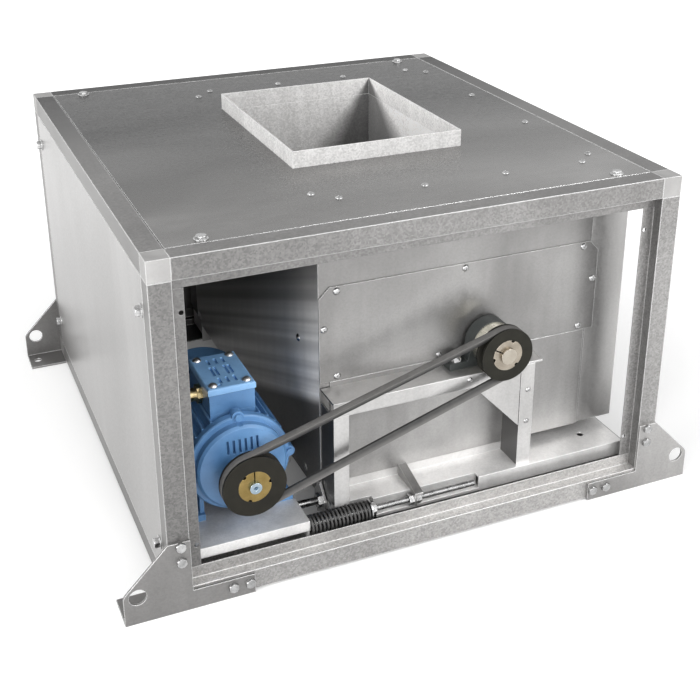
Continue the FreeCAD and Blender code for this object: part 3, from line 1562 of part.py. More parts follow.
def make_slide():
    """Motor tray on two rods and a rear rail, with the spring tensioner."""
    lug_front = tray_front + tray_sheet
    low = tray_top - lug_drop
    plate = box(tray_left, tray_right, tray_front, tray_back, channel_top, tray_top)
    flange = box(tray_left, tray_right, tray_front, tray_front + tray_sheet, tray_top - tray_flange, tray_top)
    lugs = [
        box(x, x + tray_sheet, lug_front, lug_front + lug_depth, low, channel_top)
        for x in (tray_left, tray_right - tray_sheet)
    ]
    holes = []
    for y, radius in ((rod_y, rod_radius), (guide_rod_y, guide_rod_radius)):
        start = Vec(tray_left - 1, y, rod_z)
        holes.append(cylinder(radius + slide_clearance, start, ALONG_X, tray_width + 2))
    for x, y in foot_hole_places:
        hole = foot_bolt_radius + screw_clearance
        holes.append(cylinder(hole, Vec(x, y, channel_top - 1), ALONG_Z, tray_sheet + 2))
    save("motor_tray", cut(fuse(plate, flange, *lugs), *holes))

    rod_start = rod_plate_left - thin_nut_height
    tension_rod = cylinder(rod_radius, Vec(rod_start, rod_y, rod_z), ALONG_X, rod_end - rod_start)
    guide_start = Vec(rod_start, guide_rod_y, rod_z)
    guide_rod = cylinder(guide_rod_radius, guide_start, ALONG_X, chamber_left - rod_start)
    save("slide_rods", tension_rod, guide_rod)

    stand = lip_floor + lip_sheet
    ledge = z_low_in + slide_clearance
    outline = [
        (-y_in + slide_clearance, stand),
        (guide_rod_y + rod_plate_margin, stand),
        (guide_rod_y + rod_plate_margin, rod_z + rod_plate_margin),
        (rod_y - rod_plate_margin, rod_z + rod_plate_margin),
        (rod_y - rod_plate_margin, ledge),
        (-y_in + slide_clearance, ledge),
    ]
    plate = plate_yz(outline, rod_plate_left, rod_plate_left + rod_plate_sheet)
    rod_holes = [
        cylinder(radius, Vec(rod_plate_left - 1, y, rod_z), ALONG_X, rod_plate_sheet + 2)
        for y, radius in ((rod_y, rod_radius), (guide_rod_y, guide_rod_radius))
    ]
    save("rod_brackets", cut(plate, *rod_holes), guide_bracket(), rod_anchor())
    make_nuts()
    make_spring()

    rail_y = (tray_back - slide_rail_inset - slide_rail_width, tray_back - slide_rail_inset)
    rail_left = -x_in + slide_rail_end_gap
    top = box(rail_left, chamber_left, *rail_y, channel_top - slide_rail_sheet, channel_top)
    sides = [
        box(rail_left, chamber_left, y, y + slide_rail_sheet, channel_top - channel_flange, channel_top)
        for y in (rail_y[0], rail_y[1] - slide_rail_sheet)
    ]
    leg = box(rail_left, rail_left + slide_rail_sheet, *rail_y, stand, channel_top)
    foot = box(rail_left, -x_in + lip_width, *rail_y, stand, stand + slide_rail_sheet)
    save("slide_rail", fuse(top, leg, foot, *sides))
    make_bearers(stand)


def make_bearers(stand):
    """Two bearers across the cabinet floor, which stand on the front and rear lips and carry the channels."""
    bearers = []
    for x in bearer_places:
        reach = y_in - bearer_end_gap
        end = reach - bearer_end_length
        top_z = channel_top - channel_flange
        drop_z = top_z - bearer_end_drop
        outline = [
            (-reach, stand), (reach, stand), (reach, drop_z), (end, drop_z),
            (end, top_z), (-end, top_z), (-end, drop_z), (-reach, drop_z),
        ]
        web = plate_yz(outline, x, x + bearer_sheet)
        lower = box(x, x + bearer_flange, -reach, reach, stand, stand + bearer_sheet)
        upper = box(x, x + bearer_flange, -end, end, top_z - bearer_sheet, top_z)
        bearers.append(fuse(web, lower, upper))
    save("floor_bearers", *bearers)


def rod_anchor():
    """Angle that anchors the tension rod; it stands on the base channel and slopes to the front."""
    back = access_front
    back_top = channel_top + anchor_rise
    front = rod_y - anchor_front
    front_top = rod_z + anchor_front_rise
    outline = [
        (back, channel_top),
        (back, back_top),
        (front, front_top),
        (front, rod_z - anchor_front),
        (rod_y + anchor_front, rod_z - anchor_front),
        (rod_y + anchor_front, channel_top),
    ]
    plate = plate_yz(outline, anchor_left, anchor_left + anchor_sheet)
    slope = [
        (back, back_top),
        (front, front_top),
        (front, front_top - anchor_sheet),
        (back, back_top - anchor_sheet),
    ]
    flange = plate_yz(slope, anchor_left, anchor_left + anchor_flange)
    hole = cylinder(rod_radius, Vec(anchor_left - 1, rod_y, rod_z), ALONG_X, anchor_sheet + 2)
    return fuse(plate, flange).cut(hole)


def guide_bracket():
    """Pointed plate against the chamber's left face that holds the right end of the guide rod."""
    right = chamber_left
    half = guide_bracket_half
    outline = [
        (guide_rod_y - half, rod_z - half),
        (guide_rod_y + half, rod_z - half),
        (guide_rod_y + half, rod_z + guide_bracket_shoulder),
        (guide_rod_y, rod_z + guide_bracket_rise),
        (guide_rod_y - half, rod_z + guide_bracket_shoulder),
    ]
    plate = plate_yz(outline, right - guide_bracket_sheet, right)
    hole = cylinder(guide_rod_radius, Vec(right - guide_bracket_sheet - 1, guide_rod_y, rod_z), ALONG_X,
                    guide_bracket_sheet + 2)
    return plate.cut(hole)


def make_nuts():
    """Nuts of both rods, and the washer that the spring pushes on."""
    bore = rod_radius + nut_bore_clearance
    guide_bore = guide_rod_radius + nut_bore_clearance
    guide_right = chamber_left - guide_bracket_sheet
    nuts = []
    for x, height in (
        (rod_plate_left - thin_nut_height, thin_nut_height),
        (spring_end + washer_height, nut_height),
        (anchor_left - nut_height, nut_height),
        (anchor_left + anchor_sheet, nut_height),
    ):
        start = Vec(x, rod_y, rod_z)
        nuts.append(hex_prism(nut_flats, start, ALONG_X, height).cut(cylinder(bore, start, ALONG_X, height)))
    for x, height in (
        (rod_plate_left - thin_nut_height, thin_nut_height),
        (guide_right - thin_nut_height, thin_nut_height),
    ):
        start = Vec(x, guide_rod_y, rod_z)
        body = hex_prism(guide_nut_flats, start, ALONG_X, height)
        nuts.append(body.cut(cylinder(guide_bore, start, ALONG_X, height)))
    start = Vec(spring_end, rod_y, rod_z)
    nuts.append(ring(spring_outer / 2, bore, start, ALONG_X, washer_height))
    save("rod_nuts", *nuts)


def arc_from(start, tangent, end):
    """Arc that leaves start along tangent and ends at end."""
    chord = end - start
    along = Vec(chord).normalize()
    side = tangent - along * tangent.dot(along)
    if side.Length < 1e-9:
        return Part.LineSegment(start, end).toShape()
    half_turn = math.acos(max(-1.0, min(1.0, tangent.dot(along))))
    middle = (start + end) * 0.5 + side.normalize() * (chord.Length / 2 * math.tan(half_turn / 2))
    return Part.Arc(start, middle, end).toShape()


def biarc(start, start_way, end, end_way):
    """Two arcs with one tangent where they meet, between two points with given tangents."""
    chord = end - start
    both = start_way + end_way
    spread = 2 * (1 - start_way.dot(end_way))
    reach = chord.dot(both)
    if spread < 1e-9:
        length = chord.dot(chord) / (4 * chord.dot(end_way))
    else:
        length = (-reach + math.sqrt(reach * reach + spread * chord.dot(chord))) / spread
    joint = (start + end + (start_way - end_way) * length) * 0.5
    first = arc_from(start, start_way, joint)
    back = arc_from(end, end_way * -1, joint)
    return [first, Part.Edge(back)]


def make_spring():
    """Compression spring round the rod: one unbroken wire, its ends square to the tray lug and the washer."""
    wire_radius = spring_wire / 2
    coil_radius = spring_outer / 2 - wire_radius
    lead = spring_wire * 2.5
    start_x = spring_start + lead
    length = spring_length - 2 * lead
    quarters = 4 * spring_turns
    pitch = length / spring_turns

    def helix(quarter):
        angle = math.pi / 2 * quarter
        place = Vec(start_x + pitch * quarter / 4, rod_y + coil_radius * math.cos(angle),
                    rod_z + coil_radius * math.sin(angle))
        way = Vec(pitch / (2 * math.pi), -coil_radius * math.sin(angle), coil_radius * math.cos(angle))
        return place, way.normalize()

    first, first_way = helix(0)
    last, last_way = helix(quarters)
    head = Vec(spring_start, first.y - first_way.y * lead, first.z - lead)
    head_turn = head + ALONG_X * spring_wire
    tail = Vec(spring_end, last.y, last.z + lead)
    tail_turn = tail - ALONG_X * spring_wire
    edges = [Part.LineSegment(head, head_turn).toShape()]
    edges += biarc(head_turn, ALONG_X, first, first_way)
    for quarter in range(quarters):
        place, way = helix(quarter)
        next_place, next_way = helix(quarter + 1)
        edges += biarc(place, way, next_place, next_way)
    edges += biarc(last, last_way, tail_turn, ALONG_X)
    edges.append(Part.LineSegment(tail_turn, tail).toShape())
    path = Part.Wire(Part.__sortEdges__(edges))
    profile = Part.Wire([Part.Circle(head, ALONG_X, wire_radius).toShape()])
    spring = path.makePipeShell([profile], True, False)
    expected = math.pi * wire_radius ** 2 * path.Length
    print("spring volume %.1f, section times length %.1f" % (spring.Volume, expected))
    points = path.discretize(Number=60 * spring_turns)
    apart = int(len(points) / spring_turns / 2)
    gap = min(
        (a - b).Length for i, a in enumerate(points) for b in points[i + apart:]
    ) - spring_wire
    print("spring least gap to itself %.2f mm" % gap)
    save("tension_spring", spring)


make_frame()
make_panels()
make_brackets()
make_chamber()
make_blower()
make_pedestals()
make_bearings()
make_bolts()
make_belt_drive()
make_motor()
make_slide()
print("nodes", len(os.listdir("parts")))
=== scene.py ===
"""Looks of the belt-driven cabinet fan: finishes, belt, spring, rods, fasteners, floor, light and camera."""

import json
import math

import bmesh
import bpy
from mathutils import Matrix, Vector


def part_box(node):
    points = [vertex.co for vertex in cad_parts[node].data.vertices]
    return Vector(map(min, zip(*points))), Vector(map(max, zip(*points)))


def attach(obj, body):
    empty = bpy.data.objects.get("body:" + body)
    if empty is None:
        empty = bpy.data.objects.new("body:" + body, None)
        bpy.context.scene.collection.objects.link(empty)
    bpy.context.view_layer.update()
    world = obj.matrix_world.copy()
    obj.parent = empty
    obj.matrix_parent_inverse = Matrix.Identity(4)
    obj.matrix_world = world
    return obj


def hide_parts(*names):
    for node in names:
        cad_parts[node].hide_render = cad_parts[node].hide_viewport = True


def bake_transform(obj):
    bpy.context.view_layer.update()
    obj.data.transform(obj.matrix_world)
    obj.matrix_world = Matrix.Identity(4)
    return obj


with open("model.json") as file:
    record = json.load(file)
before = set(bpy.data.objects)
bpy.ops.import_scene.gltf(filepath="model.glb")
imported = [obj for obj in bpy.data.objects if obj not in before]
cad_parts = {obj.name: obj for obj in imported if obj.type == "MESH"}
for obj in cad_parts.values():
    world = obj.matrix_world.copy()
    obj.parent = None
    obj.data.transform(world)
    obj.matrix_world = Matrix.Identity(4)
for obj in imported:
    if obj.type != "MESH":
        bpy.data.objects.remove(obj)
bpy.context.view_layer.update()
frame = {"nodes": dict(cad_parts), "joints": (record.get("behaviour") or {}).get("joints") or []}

# Camera, fitted to the edges of the cabinet
camera_azimuth = math.radians(-23.279)
camera_elevation = math.radians(22.732)
camera_roll = math.radians(-0.112)
camera_distance = 1.6228
camera_target = Vector((0.0508, 0.0, 0.2449))
camera_clip_end = 200.0
picture_pixels = 700
focal_pixels = 1163.4
principal_pixel = (357, 250)
sensor_millimetres = 36.0

# Floor and lamps; each lamp has a name, a place, a width and a power
white = (1.0, 1.0, 1.0, 1.0)
floor_half_width = 30.0
floor_tone = (0.86, 0.86, 0.86, 1.0)
floor_roughness = 0.9
# The floor's glow is weak near the object and full far from it: a painted shadow round the object
floor_glow_under = 0.08
floor_glow_far = 0.75
floor_glow_reach = (0.3, 1.3)
sky_strength = 0.45
lamp_aim = Vector((0.0, 0.0, 0.22))
lamps = [
    ("key_lamp", (-2.6, -0.9, 2.1), 2.0, 54.0),
    ("front_lamp", (1.2, -2.0, 1.7), 1.2, 30.0),
    ("low_lamp", (-0.3, -2.4, 1.1), 1.0, 18.0),
    ("bay_lamp", (-2.0, -1.5, 0.6), 0.8, 20.0),
    ("side_lamp", (2.6, -1.2, 1.5), 2.2, 12.0),
    ("rear_lamp", (-1.7, 2.6, 1.5), 2.4, 12.0),
]

# Edge rounding, painted highlights on the edges, reach of the painted light by facing, and surface grain
edge_radius = 0.0011
fold_radius = 0.0018
plated_edge = 0.0005
turned_edge = 0.0006
cast_edge = 0.001
edge_samples = 4
edge_flat = 0.99
edge_sharp = 0.88
edge_highlight_tone = 243
edge_highlight_share = 0.8
inner_edge_highlight_share = 0.25
skin_reach = (0.98, 0.99)
facing_reach = (0.6, 0.9)
zinc_drift_reach = (0.34, 0.66)
zinc_streak_shares = (0.94, 1.06)
rolling_stretch = 0.12
spangle_size = 0.0019
grain_size = 0.0009
turning_ring_size = 0.0011
paint_peel_size = 0.0014

# Usual range of a noise, and texture scales in waves per metre
noise_low = 0.3
noise_high = 0.7
sheet_streak_scale = 60.0
reflection_streak_scale = 45.0
plating_drift_scale = 130.0
plating_grain_scale = 1500.0
turning_drift_scale = 70.0
paint_drift_scale = 24.0
paint_speck_scale = 420.0
core_sheet_scale = 320.0
plastic_drift_scale = 60.0
plastic_grain_scale = 1600.0
belt_drift_scale = 90.0
belt_weave_scale = 420.0
belt_grain_scale = 1800.0
canvas_drift_scale = 70.0
wire_drift_scale = 160.0
wire_grain_scale = 900.0

# Painted light and shade on the sheets, and their painted reflection band: heights, shares of the half
# depth, and shares of the tone
top_shade_reach = (-0.7, 0.3)
top_shade_share = 0.15
rail_shade_start = -0.2
rail_shade_share = 0.1
rail_low_light_heights = (0.06, 0.12)
rail_low_light_share = 1.6
rail_side_light_shares = (0.8, 1.3)
front_rail_light_heights = (0.08, 0.2)
front_rail_low_light_share = 1.9
wall_low_light_heights = (0.1, 0.2)
wall_low_light_share = 1.3
bracket_right_light_share = 1.5
base_top_light_share = 1.3
shelf_left_shade_share = 0.25
collar_left_light_share = 1.4
throat_left_light_share = 1.7
# Band of painted reflection on the chamber's left wall
reflection_band_heights = (0.19, 0.27)
reflection_band_drop = 0.42
reflection_band_rise = 0.015
reflection_band_fade = 0.08
reflection_band_fade_share = 0.15

# Painted shadow in the outlet, a dark wedge: where its faces look, its widths per metre of depth, and its
# share of the tone
collar_flange = 0.015
shadow_facing = (-0.7, -0.7, 0.0)
shadow_core = 0.42
shadow_edge = 0.95
shadow_forward_share = 0.42
shadow_share = 0.22
shadow_least_depth = 0.001

# Bare screws on the painted motor
bare_step = 0.0005
bare_tone = 214

# Belt, spring and rod details
belt_half_angle = math.radians(19)
belt_depth = 0.008
belt_edge_round = 0.0006
belt_arc_steps = 40
belt_run_steps = 48
belt_back_side = 2
spring_turns = 16
spring_closed_turns = 0.9
spring_closed_gap = 1.03
spring_wire = 0.0029
spring_sides = 12
spring_steps_per_turn = 28
spring_slope_step = 0.01
thread_pitch = 0.00125
thread_depth = 0.0004
thread_rows_per_turn = 4
threaded_radius_limit = 0.0045
plain_rod_rows = 8
rod_sides = 16
rod_chamfer = 0.0008

# Fasteners
ring_steps = 36
weld_digits = 5
dome_rows = (1.0, 0.95, 0.86, 0.74, 0.62)
recess_share = 0.52
recess_waist = 0.42
recess_depth_share = 0.45
recess_floor_share = 0.8
hex_chamfer_share = 0.12
hex_chamfer_least = 0.0002
hex_top_share = 0.485
washer_side_share = 0.7
washer_top_share = 0.95
washer_inner_share = 0.6
shank_point_length = 0.002
dome_head_height = 0.0028
dome_shank_radius = 0.002
dome_point_share = 0.3
panel_head_flats = 0.011
panel_head_height = 0.003
side_head_height = 0.006
panel_washer_height = 0.0012
panel_shank_radius = 0.0024
panel_point_share = 0.5
bolt_head_height = 0.0042
bearing_bolt_head_height = 0.006
bolt_shank_radius = 0.003
bracket_bolt_zone = 0.02
small_screw_radius = 0.0036
small_screw_rise = 0.6
small_shank_share = 0.5
small_shank_length = 0.0012
wall_screw_radius = 0.005
upright_screw_heights = (0.117, 0.1612)
upright_screw_inset = 0.008
shelf_screw_lead = 0.039
shelf_screw_drop = 0.0067
wall_screw_place = (0.066, 0.235)
plate_screw_lead = 0.0612
plate_screw_rise = 0.0133

upward = Vector((0, 0, 1))
frontward = Vector((0, -1, 0))
leftward = Vector((-1, 0, 0))

joint_places = {joint["name"]: joint.get("pos_m") for joint in frame["joints"]}
fan_axis = Vector(joint_places["fan_spin"])
motor_axis = Vector(joint_places["motor_spin"])

cabinet_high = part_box("posts")[1]
cabinet_half_width = cabinet_high.x
cabinet_half_depth = cabinet_high.y
cabinet_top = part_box("top_panel")[1].z


class Tree:
    """Short names for making and linking the nodes of one material."""

    def __init__(self, owner):
        self.tree = owner.node_tree
        self.coordinates = None

    def add(self, kind, inputs=None, **settings):
        """New node; an input is a value, or a socket to link from."""
        node = self.tree.nodes.new(kind)
        for name, value in settings.items():
            setattr(node, name, value)
        for key, value in (inputs or {}).items():
            self.feed(node.inputs[key], value)
        return node

    def feed(self, socket, value):
        if isinstance(value, bpy.types.NodeSocket):
            self.tree.links.new(value, socket)
        else:
            socket.default_value = value

    def place(self):
        """Coordinates in metres that stay with the piece."""
        if self.coordinates is None:
            self.coordinates = self.add("ShaderNodeTexCoord").outputs["Object"]
        return self.coordinates

    def moved(self, scale=(1, 1, 1), location=(0, 0, 0)):
        inputs = {"Vector": self.place(), "Scale": scale, "Location": location}
        return self.add("ShaderNodeMapping", inputs).outputs["Vector"]

    def along(self, axis):
        return self.add("ShaderNodeSeparateXYZ", {"Vector": self.place()}).outputs[axis]

    def math(self, operation, first, second=0.0):
        return self.add("ShaderNodeMath", {0: first, 1: second}, operation=operation).outputs["Value"]

    def vectors(self, operation, first, second=(0, 0, 0)):
        """Outputs of a node that reckons with vectors."""
        return self.add("ShaderNodeVectorMath", {0: first, 1: second}, operation=operation).outputs

    def scaled(self, tone, share):
        """Colour times a number."""
        inputs = {0: tone, "Scale": share}
        return self.add("ShaderNodeVectorMath", inputs, operation="SCALE").outputs["Vector"]

    def remap(self, value, from_low, from_high, to_low, to_high):
        inputs = {
            "Value": value,
            "From Min": from_low, "From Max": from_high,
            "To Min": to_low, "To Max": to_high,
        }
        return self.add("ShaderNodeMapRange", inputs).outputs["Result"]

    def spread(self, noise, low=0.0, high=1.0):
        """Stretches the usual range of a noise to the range from low to high."""
        return self.remap(noise, noise_low, noise_high, low, high)

    def between(self, share, first, second):
        """Number between two numbers."""
        return self.add("ShaderNodeMix", {"Factor": share, 2: first, 3: second}).outputs[0]

    def blend(self, share, first, second):
        """Colour between two colours or colour sockets."""
        node = self.add("ShaderNodeMix", data_type="RGBA")
        self.feed(node.inputs["Factor"], share)
        self.feed(node.inputs[6], first)
        self.feed(node.inputs[7], second)
        return node.outputs[2]

    def noise(self, scale, detail=2.0, vector=None, distortion=0.0):
        inputs = {
            "Vector": vector or self.place(), "Scale": scale, "Detail": detail, "Distortion": distortion,
        }
        return self.add("ShaderNodeTexNoise", inputs).outputs["Fac"]

    def cells(self, size):
        """Random value of each crystal cell, from 0 to 1."""
        wobble = self.add("ShaderNodeTexNoise", {"Vector": self.place(), "Scale": 0.6 / size})
        shift = self.scaled(wobble.outputs["Color"], 0.7 * size)
        spot = self.vectors("ADD", self.place(), shift)["Vector"]
        voronoi = self.add("ShaderNodeTexVoronoi", {"Vector": spot, "Scale": 1 / size})
        return self.add("ShaderNodeSeparateColor", {"Color": voronoi.outputs["Color"]}).outputs["Red"]

    def weave(self):
        """Fine weave of the belt's fabric."""
        inputs = {"Vector": self.place(), "Scale": belt_weave_scale}
        return self.add("ShaderNodeTexBrick", inputs).outputs["Fac"]

    def turned_to(self, direction):
        """One on faces turned to a direction, zero on faces square to it."""
        flat = self.add("ShaderNodeNewGeometry").outputs["True Normal"]
        return self.vectors("DOT_PRODUCT", flat, direction)["Value"]

    def outermost(self, low, high):
        """One on the skin of a box, falling to zero at its middle."""
        offset = self.vectors("SUBTRACT", self.place(), (low + high) / 2)["Vector"]
        share = self.vectors("DIVIDE", offset, (high - low) / 2)["Vector"]
        size = self.vectors("ABSOLUTE", share)["Vector"]
        parts = self.add("ShaderNodeSeparateXYZ", {"Vector": size}).outputs
        return self.math("MAXIMUM", self.math("MAXIMUM", parts["X"], parts["Y"]), parts["Z"])

    def reflection_band(self, front):
        """Painted reflection: a light streaky band between two heights, which sinks from the front towards
        the rear.
        """
        low, high = reflection_band_heights
        behind = self.math("SUBTRACT", self.along("Y"), front)
        height = self.math("ADD", self.along("Z"), self.math("MULTIPLY", behind, reflection_band_drop))
        spot = self.add("ShaderNodeCombineXYZ", {"Z": height}).outputs["Vector"]
        streak = self.remap(self.noise(reflection_streak_scale, 2.0, spot), 0.4, 0.6, 0.5, 1.0)
        rise = self.remap(height, low - reflection_band_rise, low, 0.0, 1.0)
        sink = self.remap(height, high, high + reflection_band_fade, 1.0, reflection_band_fade_share)
        return self.math("MULTIPLY", streak, self.math("MULTIPLY", rise, sink))

    def corner_shadow(self, corner):
        """Painted shadow under a corner: a dark wedge that widens with the depth, on the two faces that meet
        there.
        """
        across = self.math("SUBTRACT", corner.x, self.along("X"))
        forward = self.math("SUBTRACT", corner.y, self.along("Y"))
        away = self.math("MAXIMUM", across, self.math("MULTIPLY", forward, shadow_forward_share))
        depth = self.math("SUBTRACT", corner.z, self.along("Z"))
        width = self.math("DIVIDE", away, self.math("MAXIMUM", depth, shadow_least_depth))
        shadow = self.remap(width, shadow_core, shadow_edge, shadow_share, 1.0)
        inside = self.remap(self.turned_to(shadow_facing), 0.4, 0.6, 0.0, 1.0)
        return self.between(inside, 1.0, shadow)

    def rounded_normal(self, radius=edge_radius):
        return self.add("ShaderNodeBevel", {"Radius": radius}, samples=edge_samples).outputs["Normal"]

    def edge_mask(self, normal):
        """One on sharp edges, zero on flat faces."""
        flat = self.add("ShaderNodeNewGeometry").outputs["Normal"]
        likeness = self.vectors("DOT_PRODUCT", normal, flat)["Value"]
        return self.remap(likeness, edge_flat, edge_sharp, 0.0, 1.0)

    def bump(self, height, strength, distance, normal=None):
        inputs = {"Height": height, "Strength": strength, "Distance": distance}
        if normal is not None:
            inputs["Normal"] = normal
        return self.add("ShaderNodeBump", inputs).outputs["Normal"]


def colour(red, green, blue):
    """Linear colour from screen values between 0 and 255."""
    def linear(value):
        share = value / 255
        return share / 12.92 if share <= 0.04045 else ((share + 0.055) / 1.055) ** 2.4
    return (linear(red), linear(green), linear(blue), 1.0)


def grey(value, warmth=0):
    return colour(value + warmth, value, value - warmth)


def toned(tone, gain, lift=0.0):
    """Colour made lighter or darker by a gain and a lift."""
    return tuple(min(1.0, part * gain + lift) for part in tone[:3]) + (1.0,)


def new_material(name, **constants):
    """Material with one Principled shader, whose constant inputs are set on its own sockets."""
    material = bpy.data.materials.new(name)
    material.use_nodes = True
    shader = material.node_tree.nodes["Principled BSDF"]
    for socket, value in constants.items():
        shader.inputs[socket.replace("_", " ")].default_value = value
    return material, Tree(material), shader


def zinc_pattern(tree, cloud, stretch):
    """Drift, crystals and rolling streaks of a zinc coat."""
    drift = tree.noise(cloud, 3.0, tree.moved(scale=stretch), distortion=0.6)
    crystal = tree.cells(spangle_size)
    rolling = (stretch[0], stretch[1], rolling_stretch * stretch[2])
    streak = tree.noise(sheet_streak_scale, 2.0, tree.moved(scale=rolling))
    return drift, crystal, streak


def shaded(tree, base, falls, facing, corner):
    """Tone of a sheet with painted light and shade: its falls along the axes, its facings and the painted
    shadow under its corner.
    """
    for axis, *limits in falls:
        base = tree.scaled(base, tree.remap(tree.along(axis), *limits))
    for direction, share in facing:
        if isinstance(share, tuple):
            share = tree.remap(tree.along(share[0]), *share[1:])
        base = tree.scaled(base, tree.remap(tree.turned_to(direction), *facing_reach, 1.0, share))
    if corner:
        base = tree.scaled(base, tree.corner_shadow(corner))
    return base


def edge_highlights(tree, normal, skin):
    """Share of painted highlight on the edges, less of it inside the skin where one is given."""
    bright_edge = tree.math("MULTIPLY", tree.edge_mask(normal), edge_highlight_share)
    if skin is None:
        return bright_edge
    outside = tree.remap(tree.outermost(*skin), *skin_reach, inner_edge_highlight_share, 1.0)
    return tree.math("MULTIPLY", bright_edge, outside)


def galvanised(name, dark, light, spangle, roughness, cloud=4.0, stretch=(1, 1, 1), metal=0.9, falls=(),
               edge=edge_radius, reflection_band_front=None, facing=(), skin=None, corner=None):
    """Zinc-coated sheet: drifting tone, small crystals, rolling streaks and a painted highlight on the
    edges.

    A fall names an axis, two places along it and the share of the tone at each of them: painted light and
    shade along that axis.
    With a band front the light tone is one streaky band of painted reflection, which starts at that place
    along the depth.
    A facing names a direction and the share of the tone, or its fall, on the faces turned that way: painted
    light and shade by facing.
    A skin is the box on which folded edges get the full painted highlight.
    A corner is the place under which a shadow is painted into the tone.
    """
    material, tree, shader = new_material(name, Metallic=metal)
    drift, crystal, streak = zinc_pattern(tree, cloud, stretch)
    if reflection_band_front is None:
        light_share = tree.remap(drift, *zinc_drift_reach, 0.0, 1.0)
    else:
        light_share = tree.reflection_band(reflection_band_front)
    base = tree.blend(light_share, grey(dark, 1), grey(light, 1))
    base = tree.scaled(base, tree.remap(crystal, 0.0, 1.0, 1 - spangle, 1 + spangle))
    base = tree.scaled(base, tree.spread(streak, *zinc_streak_shares))
    base = shaded(tree, base, falls, facing, corner)
    round_normal = tree.rounded_normal(edge)
    # Painted highlight on the edges: a near-white zinc tone blended in along them
    bright_edge = edge_highlights(tree, round_normal, skin)
    tree.feed(shader.inputs["Base Color"], tree.blend(bright_edge, base, grey(edge_highlight_tone)))
    mottle = tree.math("ADD", tree.math("MULTIPLY", crystal, 0.5), tree.math("MULTIPLY", streak, 0.5))
    tree.feed(shader.inputs["Roughness"], tree.remap(mottle, 0.2, 0.8, roughness - 0.06, roughness + 0.08))
    normal = tree.bump(tree.noise(1 / grain_size), 0.12, 0.0002, round_normal)
    tree.feed(shader.inputs["Normal"], tree.bump(crystal, 0.05, 0.0002, normal))
    return material


def plated(name, dark, light, roughness):
    """Bright plating of bolts, nuts, screws and rods."""
    material, tree, shader = new_material(name, Metallic=1.0)
    drift = tree.noise(plating_drift_scale, 3.0)
    base = tree.blend(tree.spread(drift), dark, light)
    round_normal = tree.rounded_normal(plated_edge)
    pale = toned(light, 1.2, 0.05)
    tree.feed(shader.inputs["Base Color"], tree.blend(tree.edge_mask(round_normal), base, pale))
    tree.feed(shader.inputs["Roughness"], tree.spread(drift, roughness - 0.05, roughness + 0.08))
    grain = tree.noise(plating_grain_scale)
    tree.feed(shader.inputs["Normal"], tree.bump(grain, 0.1, 0.0001, round_normal))
    return material


def turned_metal(name, axis, dark, light, roughness, metallic=1.0, specular=0.5):
    """Lathe-turned part: fine rings round its axis, with a little drift of tone."""
    material, tree, shader = new_material(name, Metallic=metallic, Specular_IOR_Level=specular)
    spot = tree.moved(location=(-axis.x, -axis.y, -axis.z))
    inputs = {"Vector": spot, "Scale": 0.35 / turning_ring_size, "Distortion": 0.4, "Detail": 2.0}
    rings = tree.add("ShaderNodeTexWave", inputs, wave_type="RINGS", rings_direction="Y").outputs["Fac"]
    drift = tree.noise(turning_drift_scale, 3.0)
    share = tree.math("ADD", tree.math("MULTIPLY", rings, 0.35), tree.math("MULTIPLY", drift, 0.65))
    base = tree.blend(tree.remap(share, 0.25, 0.75, 0.0, 1.0), dark, light)
    round_normal = tree.rounded_normal(turned_edge)
    bright_edge = tree.math("MULTIPLY", tree.edge_mask(round_normal), 0.6)
    tree.feed(shader.inputs["Base Color"], tree.blend(bright_edge, base, toned(light, 1.9, 0.03)))
    tree.feed(shader.inputs["Roughness"], tree.remap(rings, 0.0, 1.0, roughness - 0.06, roughness + 0.1))
    tree.feed(shader.inputs["Normal"], tree.bump(rings, 0.12, 0.0001, round_normal))
    return material


def painted_casting(name, dark, light, roughness, coat, bare_above=None):
    """Satin paint over a casting: soft orange peel, dusty hollows and paint thinned on the edges.

    Above the height bare_above there is bright plating in place of the paint.
    """
    material, tree, shader = new_material(name, Coat_Weight=coat, Coat_Roughness=0.25)
    drift = tree.noise(paint_drift_scale, 4.0)
    base = tree.blend(tree.spread(drift), dark, light)
    speck = tree.remap(tree.noise(paint_speck_scale, 3.0), 0.62, 0.72, 0.0, 0.25)
    base = tree.blend(speck, base, toned(dark, 0.55))
    round_normal = tree.rounded_normal(cast_edge)
    bright_edge = tree.math("MULTIPLY", tree.edge_mask(round_normal), 0.45)
    tone = tree.blend(bright_edge, base, toned(light, 1.5, 0.06))
    if bare_above is not None:
        bare = tree.remap(tree.along("Z"), bare_above - bare_step, bare_above, 0.0, 1.0)
        tone = tree.blend(bare, tone, grey(bare_tone))
        tree.feed(shader.inputs["Metallic"], bare)
    tree.feed(shader.inputs["Base Color"], tone)
    tree.feed(shader.inputs["Roughness"], tree.spread(drift, roughness - 0.05, roughness + 0.08))
    peel = tree.noise(1 / paint_peel_size)
    tree.feed(shader.inputs["Normal"], tree.bump(peel, 0.18, 0.0004, round_normal))
    return material


def laminated(name, dark, light):
    """Stacked iron sheets of a motor core, with lines across the shaft."""
    material, tree, shader = new_material(name, Metallic=0.7, Roughness=0.5)
    inputs = {"Vector": tree.place(), "Scale": core_sheet_scale, "Distortion": 0.2}
    lines = tree.add("ShaderNodeTexWave", inputs, bands_direction="Y").outputs["Fac"]
    tree.feed(shader.inputs["Base Color"], tree.blend(lines, dark, light))
    tree.feed(shader.inputs["Normal"], tree.bump(lines, 0.4, 0.0003))
    return material


def moulded(name, dark, light):
    """Matt moulded plastic with a fine grain."""
    material, tree, shader = new_material(name, Roughness=0.55)
    drift = tree.noise(plastic_drift_scale, 3.0)
    tree.feed(shader.inputs["Base Color"], tree.blend(drift, dark, light))
    grain = tree.noise(plastic_grain_scale)
    tree.feed(shader.inputs["Normal"], tree.bump(grain, 0.25, 0.0002, tree.rounded_normal()))
    return material


